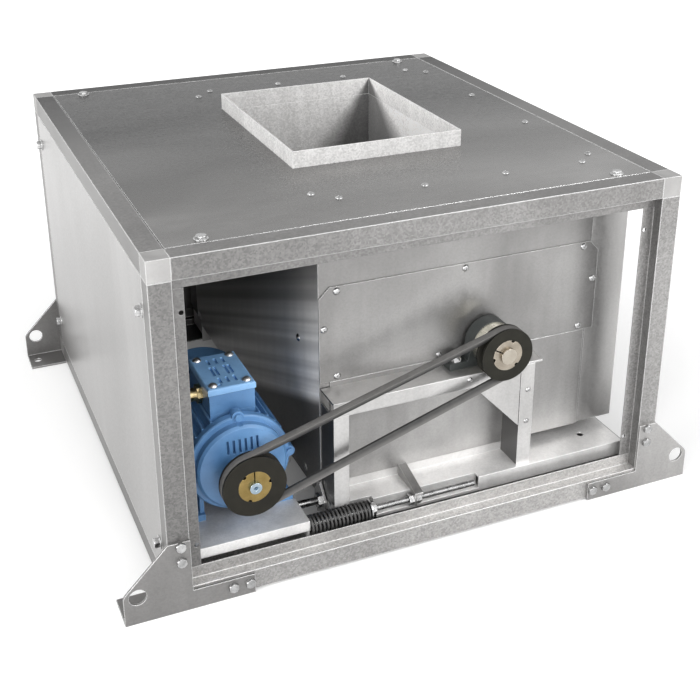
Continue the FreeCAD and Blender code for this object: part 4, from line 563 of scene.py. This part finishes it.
def rubber(name, middle_y, half_width):
    """Wrapped belt: dark fabric with a fine weave and paler rubbed edges."""
    material, tree, shader = new_material(name, Roughness=0.62)
    drift = tree.noise(belt_drift_scale, 4.0)
    base = tree.blend(tree.spread(drift), grey(34), grey(52, 1))
    off = tree.math("ABSOLUTE", tree.math("SUBTRACT", tree.along("Y"), middle_y))
    rubbed = tree.remap(off, 0.62 * half_width, half_width, 0.0, 0.6)
    tree.feed(shader.inputs["Base Color"], tree.blend(rubbed, base, grey(112, 2)))
    fine = tree.math("ADD", tree.math("MULTIPLY", tree.weave(), 0.4), tree.noise(belt_grain_scale))
    tree.feed(shader.inputs["Normal"], tree.bump(fine, 0.25, 0.0002))
    return material


def canvas(name):
    """Worn fabric on the back of the belt, paler than its sides."""
    material, tree, shader = new_material(name, Roughness=0.7)
    drift = tree.noise(canvas_drift_scale, 4.0)
    tree.feed(shader.inputs["Base Color"], tree.blend(drift, grey(74, 1), grey(118, 2)))
    tree.feed(shader.inputs["Normal"], tree.bump(tree.weave(), 0.3, 0.0002))
    return material


def blackened(name):
    """Oiled black spring wire."""
    material, tree, shader = new_material(name, Metallic=0.4)
    drift = tree.noise(wire_drift_scale, 3.0)
    tree.feed(shader.inputs["Base Color"], tree.blend(drift, grey(52), grey(80, 1)))
    tree.feed(shader.inputs["Roughness"], tree.spread(drift, 0.34, 0.48))
    tree.feed(shader.inputs["Normal"], tree.bump(tree.noise(wire_grain_scale), 0.15, 0.0002))
    return material


def islands(node):
    """Lowest and highest corners of each separate solid of a CAD node."""
    mesh = frame["nodes"][node].data
    keys = [tuple(round(part, weld_digits) for part in vertex.co) for vertex in mesh.vertices]
    leader = {key: key for key in keys}

    def find(key):
        while leader[key] != key:
            leader[key] = leader[leader[key]]
            key = leader[key]
        return key

    for polygon in mesh.polygons:
        first = find(keys[polygon.vertices[0]])
        for index in polygon.vertices[1:]:
            leader[find(keys[index])] = first
    boxes = {}
    for key in set(keys):
        low, high = boxes.setdefault(find(key), (Vector(key), Vector(key)))
        for axis in range(3):
            low[axis] = min(low[axis], key[axis])
            high[axis] = max(high[axis], key[axis])
    return sorted(boxes.values(), key=lambda pair: tuple(pair[0]))


class Shape:
    """Vertices and faces of one piece, collected from rings of points."""

    def __init__(self):
        self.vertices = []
        self.faces = []

    def rings(self, rings, closed=False):
        """Skin through rings of equal count; closed joins the last ring to the first in place of caps."""
        start = len(self.vertices)
        count = len(rings[0])
        for ring in rings:
            self.vertices.extend(ring)
        pairs = list(zip(range(len(rings)), range(1, len(rings))))
        if closed:
            pairs.append((len(rings) - 1, 0))
        for a, b in pairs:
            for side in range(count):
                after = (side + 1) % count
                self.faces.append((
                    start + a * count + side, start + a * count + after,
                    start + b * count + after, start + b * count + side,
                ))
        if not closed:
            self.faces.append(tuple(start + side for side in reversed(range(count))))
            last = start + (len(rings) - 1) * count
            self.faces.append(tuple(last + side for side in range(count)))


def new_piece(name, shape, material, body, replaced=(), smooth_degrees=35):
    """Mesh object that rides on a body, where one is given, and may stand for CAD nodes."""
    mesh = bpy.data.meshes.new(name)
    mesh.from_pydata([tuple(vertex) for vertex in shape.vertices], [], shape.faces)
    tidy = bmesh.new()
    tidy.from_mesh(mesh)
    bmesh.ops.recalc_face_normals(tidy, faces=tidy.faces)
    tidy.to_mesh(mesh)
    tidy.free()
    mesh.materials.append(material)
    piece = bpy.data.objects.new(name, mesh)
    bpy.context.scene.collection.objects.link(piece)
    mesh.shade_smooth()
    mesh.set_sharp_from_angle(angle=math.radians(smooth_degrees))
    if body:
        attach(piece, body)
    if replaced:
        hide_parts(*replaced)
    return piece


def frame_of(direction):
    """Two unit vectors square to a direction."""
    helper = upward if abs(direction.z) < 0.5 else Vector((1, 0, 0))
    first = direction.cross(helper).normalized()
    return first, direction.cross(first).normalized()


def round_ring(radius):
    return lambda angle: radius


def hex_ring(flats, limit=None):
    """Radius of a hexagon by angle, cut off at a round limit where one is given."""
    def radius(angle):
        corner = (angle + math.pi / 6) % (math.pi / 3) - math.pi / 6
        size = flats / 2 / math.cos(corner)
        return min(size, limit) if limit else size
    return radius


def cross_ring(radius):
    """Radius of a cross recess by angle."""
    return lambda angle: radius * (recess_waist + (1 - recess_waist) * math.cos(2 * angle) ** 4)


def lathe(shape, start, direction, profile):
    """Skin through rings along a direction; the profile gives each ring's height and radius by angle."""
    first, second = frame_of(direction)
    rings = []
    for height, radius in profile:
        ring = []
        for step in range(ring_steps):
            angle = 2 * math.pi * step / ring_steps
            side = first * math.cos(angle) + second * math.sin(angle)
            ring.append(start + direction * height + side * radius(angle))
        rings.append(ring)
    shape.rings(rings)


def plain_shank(shape, place, direction, length, radius):
    """Round shank below a head."""
    lathe(shape, place, direction, [(-length, round_ring(radius)), (0.0, round_ring(radius))])


def pointed_shank(shape, place, direction, length, radius, point_share):
    """Round shank below a head, with a short point."""
    lathe(shape, place, direction, [
        (-length, round_ring(point_share * radius)),
        (-length + shank_point_length, round_ring(radius)),
        (0.0, round_ring(radius)),
    ])


def dome_head(shape, place, direction, radius, height):
    """Low dome up to the edge of its cross recess, then down into the recess."""
    sphere = (radius * radius + height * height) / (2 * height)
    recess = recess_share * radius

    def level(size):
        return math.sqrt(sphere * sphere - size * size) - (sphere - height)

    rows = [(0.0, round_ring(radius))]
    for share in dome_rows:
        rows.append((max(0.0, level(radius * share)), round_ring(radius * share)))
    rows.append((level(recess), cross_ring(recess)))
    rows.append((level(recess) - recess_depth_share * height, cross_ring(recess_floor_share * recess)))
    lathe(shape, place, direction, rows)


def hex_head(shape, place, direction, flats, height, start=0.0):
    """Hexagon head with a round chamfer at its top."""
    chamfer = hex_chamfer_share * height + hex_chamfer_least
    lathe(shape, place, direction, [
        (start, hex_ring(flats)),
        (start + height - chamfer, hex_ring(flats)),
        (start + height, hex_ring(flats, hex_top_share * flats)),
    ])


def washer(shape, place, direction, radius, height):
    """Washer with a rounded rim."""
    lathe(shape, place, direction, [
        (0.0, round_ring(radius)),
        (washer_side_share * height, round_ring(radius)),
        (height, round_ring(washer_top_share * radius)),
        (height, round_ring(washer_inner_share * radius)),
    ])


def outward_of(low, high):
    """Direction in which a screw's head points, from the outer face that it stands on."""
    reach = {
        (0, 0, 1): high.z - cabinet_top,
        (-1, 0, 0): -cabinet_half_width - low.x,
        (0, -1, 0): -cabinet_half_depth - low.y,
        (0, 1, 0): high.y - cabinet_half_depth,
    }
    return Vector(max(reach, key=reach.get))


def head_place(low, high, direction, head_height):
    """Middle of the face under a head, and the shank's length, from the fastener's box and direction."""
    middle = (low + high) / 2
    axis = max(range(3), key=lambda part: abs(direction[part]))
    tip = high[axis] if direction[axis] > 0 else low[axis]
    middle[axis] = tip - direction[axis] * head_height
    length = high[axis] - low[axis] - head_height
    return middle, length


def make_sheet_screws(material):
    """Dome screws of the top panel and of the access plate, with cross recesses."""
    shape = Shape()
    for low, high in islands("sheet_screws"):
        direction = upward if high.z > cabinet_top else frontward
        place, length = head_place(low, high, direction, dome_head_height)
        pointed_shank(shape, place, direction, length, dome_shank_radius, dome_point_share)
        dome_head(shape, place, direction, (high.x - low.x) / 2, dome_head_height)
    new_piece("sheet_screw_set", shape, material, "cabinet", ("sheet_screws",))


def make_panel_screws(material):
    """Hexagon screws with washers that hold the panels."""
    shape = Shape()
    for low, high in islands("panel_screws"):
        direction = outward_of(low, high)
        place, length = head_place(low, high, direction, panel_head_height + panel_washer_height)
        height = side_head_height if direction.x < 0 else panel_head_height
        washer_radius = sorted(high - low)[1] / 2
        pointed_shank(shape, place, direction, length, panel_shank_radius, panel_point_share)
        washer(shape, place, direction, washer_radius, panel_washer_height)
        hex_head(shape, place, direction, panel_head_flats, height, panel_washer_height)
    new_piece("panel_screw_set", shape, material, "cabinet", ("panel_screws",))


def make_hex_bolts(material):
    """Bolts of the brackets, along Y, and of the bearing blocks, upright."""
    shape = Shape()
    for low, high in islands("hex_bolts"):
        middle = (low + high) / 2
        upright = abs(middle.y) < cabinet_half_depth - bracket_bolt_zone
        direction = upward if upright else Vector((0, math.copysign(1, middle.y), 0))
        head_height = bearing_bolt_head_height if upright else bolt_head_height
        place, length = head_place(low, high, direction, head_height)
        across = high.y - low.y if upright else high.z - low.z
        plain_shank(shape, place, direction, length, bolt_shank_radius)
        hex_head(shape, place, direction, min(high.x - low.x, across), head_height)
    new_piece("hex_bolt_set", shape, material, "cabinet", ("hex_bolts",))


def small_screw_places():
    """Places, directions and sizes of the dome screws on the pedestal, the plate and the inner wall."""
    upright_low, upright_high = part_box("pedestal_uprights")
    shelf_low, shelf_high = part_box("bearing_shelves")
    plate_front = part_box("access_plate_upper")[0].y
    wall_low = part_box("chamber_left_wall")[0]
    upright_x = upright_high.x - upright_screw_inset
    places = [Vector((upright_x, upright_low.y, height)) for height in upright_screw_heights]
    places.append(Vector((fan_axis.x - shelf_screw_lead, shelf_low.y, shelf_high.z - shelf_screw_drop)))
    places.append(Vector((fan_axis.x - plate_screw_lead, plate_front, shelf_high.z + plate_screw_rise)))
    screws = [(place, frontward, small_screw_radius) for place in places]
    wall_back, wall_height = wall_screw_place
    wall_place = Vector((wall_low.x, wall_low.y + wall_back, wall_height))
    screws.append((wall_place, leftward, wall_screw_radius))
    return screws


def make_small_screws(material):
    """Dome screws that stand on the sheets, each with a short shank in the sheet."""
    shape = Shape()
    for place, direction, radius in small_screw_places():
        plain_shank(shape, place, direction, small_shank_length, small_shank_share * radius)
        dome_head(shape, place, direction, radius, small_screw_rise * radius)
    new_piece("small_screw_set", shape, material, "cabinet")


def belt_line():
    """Points of the belt's outer line with their outward directions, from the two pulleys."""
    def rim(node):
        low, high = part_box(node)
        return (high.z - low.z) / 2

    motor = (motor_axis.x, motor_axis.z, rim("motor_pulley"))
    fan = (fan_axis.x, fan_axis.z, rim("fan_pulley"))
    span_x = fan[0] - motor[0]
    span_z = fan[1] - motor[1]
    lean = math.atan2(span_z, span_x)
    spread = math.acos((motor[2] - fan[2]) / math.hypot(span_x, span_z))

    def on(wheel, angle):
        way = Vector((math.cos(angle), 0, math.sin(angle)))
        return Vector((wheel[0], 0, wheel[1])) + way * wheel[2], way

    fan_start = lean - spread
    motor_start = lean + spread
    arcs = [
        (fan, fan_start, 2 * spread, on(motor, motor_start)[0]),
        (motor, motor_start, 2 * (math.pi - spread), on(fan, fan_start)[0]),
    ]
    points = []
    for wheel, start, turn, there in arcs:
        points += [on(wheel, start + turn * step / belt_arc_steps) for step in range(belt_arc_steps + 1)]
        here, way = points[-1]
        points += [(here.lerp(there, step / belt_run_steps), way) for step in range(1, belt_run_steps)]
    return points


def belt_section(half_top):
    """Outline of the V-belt with rounded edges: distances across the belt and above its outer line."""
    half_low = half_top - belt_depth * math.tan(belt_half_angle)
    edge = belt_edge_round
    return [
        (-half_top, -edge), (-half_top + 0.3 * edge, -0.3 * edge), (-half_top + edge, 0.0),
        (half_top - edge, 0.0), (half_top - 0.3 * edge, -0.3 * edge), (half_top, -edge),
        (half_low + 0.2 * edge, -belt_depth + edge), (half_low - edge, -belt_depth),
        (-half_low + edge, -belt_depth), (-half_low - 0.2 * edge, -belt_depth + edge),
    ]


def make_belt():
    """V-belt with rounded edges and a fabric back."""
    low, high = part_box("v_belt")
    middle_y = (low.y + high.y) / 2
    half_top = (high.y - low.y) / 2
    section = belt_section(half_top)
    rings = []
    for place, way in belt_line():
        rings.append([place + way * rise + Vector((0, middle_y + across, 0)) for across, rise in section])
    shape = Shape()
    shape.rings(rings, closed=True)
    sides = rubber("belt_rubber", middle_y, half_top)
    belt = new_piece("drive_belt", shape, sides, None, ("v_belt",))
    belt.data.materials.append(canvas("belt_back"))
    for polygon in belt.data.polygons:
        if polygon.index % len(section) == belt_back_side:
            polygon.material_index = 1
    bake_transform(belt)


def wire_ring(middle, outward, across, radius):
    """Points round the spring's wire."""
    ring = []
    for side in range(spring_sides):
        angle = 2 * math.pi * side / spring_sides
        out_part = outward * (radius * math.cos(angle))
        ring.append(middle + out_part + across * (radius * math.sin(angle)))
    return ring


def make_spring():
    """Compression spring with closed ends."""
    low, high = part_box("tension_spring")
    rod_y = (low.y + high.y) / 2
    rod_z = (low.z + high.z) / 2
    wire = spring_wire / 2
    coil = (high.z - low.z) / 2 - wire
    closed = spring_closed_turns
    tight = spring_closed_gap * spring_wire
    free = high.x - low.x - spring_wire - 2 * closed * tight
    pitch = free / (spring_turns - 2 * closed)

    def along(turn):
        first = min(turn, closed) * tight
        middle = max(0.0, min(turn, spring_turns - closed) - closed) * pitch
        last = max(0.0, turn - spring_turns + closed) * tight
        return low.x + wire + first + middle + last

    def slope(turn):
        return (along(turn + spring_slope_step) - along(turn - spring_slope_step)) / (2 * spring_slope_step)

    steps = spring_turns * spring_steps_per_turn
    rings = []
    for step in range(steps + 1):
        turn = step / spring_steps_per_turn
        angle = 2 * math.pi * turn
        outward = Vector((0, math.cos(angle), math.sin(angle)))
        rise = slope(turn) if 0 < step < steps else tight
        forward = Vector((rise / (2 * math.pi), -coil * math.sin(angle), coil * math.cos(angle)))
        across = forward.normalized().cross(outward)
        middle = Vector((along(turn), rod_y, rod_z)) + outward * coil
        rings.append(wire_ring(middle, outward, across, wire))
    shape = Shape()
    shape.rings(rings)
    spring = new_piece("coil_spring", shape, blackened("spring_steel"), None,
                       ("tension_spring",), smooth_degrees=60)
    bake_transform(spring)


def rod_rings(low, high):
    """Rings of one rod along X with chamfered ends, and with a thread where it is thin."""
    radius = (high.z - low.z) / 2
    middle = (low + high) / 2
    length = high.x - low.x
    threaded = radius < threaded_radius_limit
    step_length = thread_pitch / thread_rows_per_turn if threaded else length / plain_rod_rows
    rows = int(length / step_length)
    rings = []
    for row in range(rows + 1):
        x = low.x + length * row / rows
        taper = max(0.0, rod_chamfer - min(x - low.x, high.x - x))
        ring = []
        for side in range(rod_sides):
            phase = (row / thread_rows_per_turn - side / rod_sides) % 1.0
            groove = thread_depth * (1 - abs(2 * phase - 1)) if threaded else 0.0
            size = radius - max(groove, taper)
            angle = 2 * math.pi * side / rod_sides
            y = middle.y + size * math.cos(angle)
            z = middle.z + size * math.sin(angle)
            ring.append(Vector((x, y, z)))
        rings.append(ring)
    return rings


def make_rods():
    """Threaded tension rod and plain guide rod of the motor slide."""
    shape = Shape()
    for low, high in islands("slide_rods"):
        shape.rings(rod_rings(low, high))
    steel = plated("rod_steel", grey(112), grey(158), 0.26)
    new_piece("slide_rod_set", shape, steel, "cabinet", ("slide_rods",), smooth_degrees=25)


def profile_zinc(name, falls=()):
    """Zinc of the frame's profiles, with a painted highlight on the folded edges on the outside, and painted
    light and shade by facing.
    """
    depth = cabinet_half_depth
    width = cabinet_half_width
    # Painted shade on upward faces towards the rear, painted light on low upward faces, and front faces
    # painted darker on the left and lighter on the right
    facing = [
        (upward, ("Y", rail_shade_start * depth, depth, 1.0, rail_shade_share)),
        (upward, ("Z", *rail_low_light_heights, rail_low_light_share, 1.0)),
        (frontward, ("X", -width, width, *rail_side_light_shares)),
    ]
    return galvanised(
        name, 110, 128, 0.22, 0.42, metal=0.75, falls=falls, edge=fold_radius, facing=facing,
        skin=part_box("posts")
    )


def duct_zinc(name, left_light_share):
    """Pale zinc of the outlet's sheets, with a painted shadow under the rear right corner of the collar and
    painted light on the faces turned left.
    """
    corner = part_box("outlet_collar")[1] - Vector((collar_flange, collar_flange, 0))
    return galvanised(name, 198, 214, 0.16, 0.46, metal=0.3, facing=[(leftward, left_light_share)], corner=corner)


def cabinet_finishes():
    """Finishes of the frame, the panels and the brackets, with the nodes that wear them."""
    # Painted shade on the top towards the rear, painted light low on the front rail and towards the right of
    # the brackets
    top_shade_start, top_shade_end = (share * cabinet_half_depth for share in top_shade_reach)
    top_shade = ("Y", top_shade_start, top_shade_end, 1.0, top_shade_share)
    front_rail_light = ("Z", *front_rail_light_heights, front_rail_low_light_share, 1.0)
    bracket_light = ("X", -cabinet_half_width, cabinet_half_width, 1.0, bracket_right_light_share)
    profile = profile_zinc("galvanised_profile")
    front_rail = profile_zinc("front_rail", [front_rail_light])
    corner = galvanised("corner_metal", 148, 164, 0.04, 0.46, cloud=20.0)
    # The top sheet is a darker copy of the zinc: painted shade, on top of its painted fall towards the rear
    top_sheet = galvanised(
        "top_sheet", 106, 144, 0.05, 0.27, cloud=3.0, stretch=(0.7, 1.5, 1.0), metal=1.0, falls=[top_shade]
    )
    side_sheet = galvanised("side_sheet", 155, 169, 0.05, 0.34, cloud=3.0, stretch=(1.0, 1.6, 0.6))
    bracket_sheet = galvanised("bracket_sheet", 116, 138, 0.08, 0.44, falls=[bracket_light])
    return [
        (profile, ["posts", "rails_rear", "rails_left", "rails_right"]),
        (front_rail, ["rails_front"]),
        (corner, ["corner_blocks"]),
        (top_sheet, ["top_panel"]),
        (side_sheet, ["left_panel", "rear_panel"]),
        (bracket_sheet, ["lifting_brackets"]),
    ]


def inside_finishes():
    """Finishes of the chamber, the outlet and the sheets in the bays, with the nodes that wear them."""
    wall_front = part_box("chamber_left_wall")[0].y
    # Painted light low on the chamber's front wall and on the base's upward faces, and painted shade on the
    # pedestal's left faces
    wall_light = ("Z", *wall_low_light_heights, wall_low_light_share, 1.0)
    wall_sheet = galvanised("wall_sheet", 126, 150, 0.06, 0.36, cloud=6.0, falls=[wall_light])
    strip_sheet = galvanised("strip_sheet", 146, 178, 0.05, 0.36, cloud=5.0, stretch=(1.2, 1.0, 0.5))
    # The chamber's left wall: dark zinc as painted shade, with a streaky band of painted reflection
    painted_shade_and_reflection_sheet = galvanised("painted_shade_and_reflection_sheet", 84, 250, 0.04, 0.36, metal=0.25, reflection_band_front=wall_front)
    base_top_light = [(upward, base_top_light_share)]
    base_sheet = galvanised("base_sheet", 192, 210, 0.05, 0.44, cloud=8.0, metal=0.6, facing=base_top_light)
    # The rod brackets are a darker copy of the base's zinc: painted shade
    rod_sheet = galvanised("rod_sheet", 150, 178, 0.06, 0.34, cloud=20.0)
    inner_sheet = galvanised("inner_sheet", 150, 176, 0.10, 0.38)
    shelf_left_shade = [(leftward, shelf_left_shade_share)]
    shelf_sheet = galvanised("shelf_sheet", 172, 196, 0.06, 0.36, cloud=8.0, facing=shelf_left_shade)
    tray_sheet = galvanised("tray_sheet", 200, 222, 0.06, 0.46, cloud=10.0, metal=0.4)
    collar_sheet = duct_zinc("collar_sheet", collar_left_light_share)
    throat_sheet = duct_zinc("throat_sheet", throat_left_light_share)
    return [
        (wall_sheet, ["chamber_front_wall", "access_plate_upper", "access_plate_lower"]),
        (strip_sheet, ["chamber_strips"]),
        (painted_shade_and_reflection_sheet, ["chamber_left_wall"]),
        (collar_sheet, ["outlet_collar"]),
        (throat_sheet, ["scroll_sides", "chamber_top_frame", "scroll_wrapper"]),
        (base_sheet, ["base_channels", "floor_bearers", "slide_rail"]),
        (rod_sheet, ["rod_brackets"]),
        (inner_sheet, ["chamber_rear_wall", "chamber_floor", "inlet_cones"]),
        (inner_sheet, ["impeller_hub", "impeller_rings", "impeller_blades"]),
        (shelf_sheet, ["pedestal_uprights", "bearing_shelves"]),
        (tray_sheet, ["motor_tray"]),
    ]


def pulley_iron(name, axis, light):
    """Dull iron of a pulley."""
    return turned_metal(name, axis, colour(26, 25, 21), light, 0.55, metallic=0.3, specular=0.2)


def fan_finishes():
    """Finishes of the fan's shaft, pulley and bearings, with the nodes that wear them."""
    cast = painted_casting("bearing_cast", colour(34, 38, 38), colour(52, 56, 55), 0.46, 0.1)
    ground = turned_metal("bearing_steel", fan_axis, colour(196, 192, 178), colour(232, 228, 214), 0.24)
    steel = turned_metal("fan_shaft_steel", fan_axis, colour(150, 143, 132), colour(178, 171, 160), 0.26)
    bush = turned_metal("bush_steel", fan_axis, colour(126, 118, 106), colour(168, 160, 148), 0.32)
    return [
        (cast, ["bearing_housings"]),
        (ground, ["bearing_outer_rings", "bearing_covers", "bearing_inner_rings", "motor_bearings"]),
        (steel, ["fan_shaft"]),
        (pulley_iron("fan_pulley_iron", fan_axis, colour(40, 39, 33)), ["fan_pulley"]),
        (bush, ["fan_bush"]),
    ]


def motor_finishes():
    """Finishes of the motor and its pulley, with the nodes that wear them."""
    blue = (colour(76, 118, 164), colour(100, 146, 194), 0.38, 0.15)
    paint = painted_casting("motor_paint", *blue)
    bolt_paint = painted_casting("bolt_paint", *blue, bare_above=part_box("terminal_box")[1].z)
    # The lid's paint is a lighter copy of the motor's blue: painted light on the lid
    painted_light_lid_paint = painted_casting("painted_light_lid_paint", colour(120, 166, 214), colour(148, 196, 242), 0.38, 0.15)
    steel = turned_metal("motor_shaft_steel", motor_axis, colour(128, 146, 158), colour(176, 190, 200), 0.24)
    bush = turned_metal("bush_brass", motor_axis, colour(108, 90, 50), colour(156, 136, 88), 0.34)
    brass = plated("gland_brass", colour(150, 132, 92), colour(206, 190, 150), 0.28)
    core = laminated("motor_core", colour(88, 70, 56), colour(130, 108, 88))
    plastic = moulded("fan_plastic", grey(28), grey(44))
    return [
        (paint, ["motor_frame", "motor_shields", "motor_fan_cowl", "terminal_box"]),
        (bolt_paint, ["motor_bolts"]),
        (painted_light_lid_paint, ["terminal_lid"]),
        (steel, ["motor_shaft"]),
        (pulley_iron("motor_pulley_iron", motor_axis, colour(38, 36, 30)), ["motor_pulley"]),
        (bush, ["motor_bush"]),
        (brass, ["cable_gland"]),
        (core, ["motor_stator", "motor_rotor_core"]),
        (plastic, ["motor_cooling_fan"]),
    ]


def dress_nodes(finishes):
    """Gives each CAD node that shows its finish."""
    for material, names in finishes:
        for name in names:
            piece = frame["nodes"][name]
            if not piece.material_slots:
                piece.data.materials.append(material)
            for slot in piece.material_slots:
                slot.material = material


def make_camera():
    """Camera at the fitted place, with the shift that the picture's framing needs."""
    flat = math.cos(camera_elevation)
    back = Vector((
        math.sin(camera_azimuth) * flat, -math.cos(camera_azimuth) * flat, math.sin(camera_elevation),
    ))
    right = (-back).cross(upward).normalized()
    up = right.cross(-back)
    side = right * math.cos(camera_roll) + up * math.sin(camera_roll)
    top = up * math.cos(camera_roll) - right * math.sin(camera_roll)
    data = bpy.data.cameras.new("camera")
    data.sensor_width = sensor_millimetres
    data.lens = focal_pixels / picture_pixels * sensor_millimetres
    data.shift_x = (picture_pixels / 2 - principal_pixel[0]) / picture_pixels
    data.shift_y = (principal_pixel[1] - picture_pixels / 2) / picture_pixels
    data.clip_end = camera_clip_end
    camera = bpy.data.objects.new("camera", data)
    turn = Matrix((side, top, back)).transposed().to_4x4()
    camera.matrix_world = Matrix.Translation(camera_target + back * camera_distance) @ turn
    bpy.context.scene.collection.objects.link(camera)
    bpy.context.scene.camera = camera


def background_rays(tree):
    """One for the rays that should see the white background: camera, glossy and transmission rays."""
    path = tree.add("ShaderNodeLightPath").outputs
    seen = tree.math("MAXIMUM", path["Is Camera Ray"], path["Is Glossy Ray"])
    return tree.math("MAXIMUM", seen, path["Is Transmission Ray"])


def make_world():
    """White background, and a softer sky for the light on matt surfaces."""
    world = bpy.data.worlds.new("studio")
    world.use_nodes = True
    bpy.context.scene.world = world
    tree = Tree(world)
    strength = tree.remap(background_rays(tree), 0.0, 1.0, sky_strength, 1.0)
    background = world.node_tree.nodes["Background"]
    background.inputs["Color"].default_value = white
    tree.feed(background.inputs["Strength"], strength)


def floor_finish():
    """Matt pale material with a glow that grows away from the object, so that a shadow is painted round the
    object.
    """
    material, tree, shader = new_material("floor", Roughness=floor_roughness, Specular_IOR_Level=0.0)
    shader.inputs["Base Color"].default_value = floor_tone
    away = tree.vectors("LENGTH", tree.place())["Value"]
    glow_here = tree.remap(away, *floor_glow_reach, floor_glow_under, floor_glow_far)
    strength = tree.math("MULTIPLY", background_rays(tree), glow_here)
    glow = tree.add("ShaderNodeEmission", {"Color": white, "Strength": strength})
    both = tree.add("ShaderNodeAddShader", {0: shader.outputs[0], 1: glow.outputs[0]})
    tree.feed(material.node_tree.nodes["Material Output"].inputs["Surface"], both.outputs[0])
    return material


def make_floor():
    """Pale floor, which shows white where it is lit, keeps a soft shadow of the object, and has a painted
    shadow round the object where its glow is weak.
    """
    half = floor_half_width
    corners = [(-half, -half, 0), (half, -half, 0), (half, half, 0), (-half, half, 0)]
    mesh = bpy.data.meshes.new("floor")
    mesh.from_pydata(corners, [], [(0, 1, 2, 3)])
    mesh.materials.append(floor_finish())
    floor = bpy.data.objects.new("floor", mesh)
    bpy.context.scene.collection.objects.link(floor)


def make_lamp(name, place, size, power):
    """Large soft lamp aimed at the object."""
    data = bpy.data.lights.new(name, "AREA")
    data.size = size
    data.energy = power
    lamp = bpy.data.objects.new(name, data)
    lamp.location = place
    lamp.rotation_euler = (lamp_aim - Vector(place)).to_track_quat("-Z", "Y").to_euler()
    bpy.context.scene.collection.objects.link(lamp)


def make_studio():
    """World, floor, lamps and camera."""
    bpy.context.scene.view_settings.view_transform = "Standard"
    make_world()
    make_floor()
    for lamp in lamps:
        make_lamp(*lamp)
    make_camera()


zinc = plated("zinc_hardware", grey(146), grey(190), 0.24)
dress_nodes([(zinc, ["rod_nuts"])])
dress_nodes(cabinet_finishes())
dress_nodes(inside_finishes())
dress_nodes(fan_finishes())
dress_nodes(motor_finishes())
make_belt()
make_spring()
make_rods()
make_sheet_screws(zinc)
make_panel_screws(zinc)
make_hex_bolts(zinc)
make_small_screws(zinc)
make_studio()
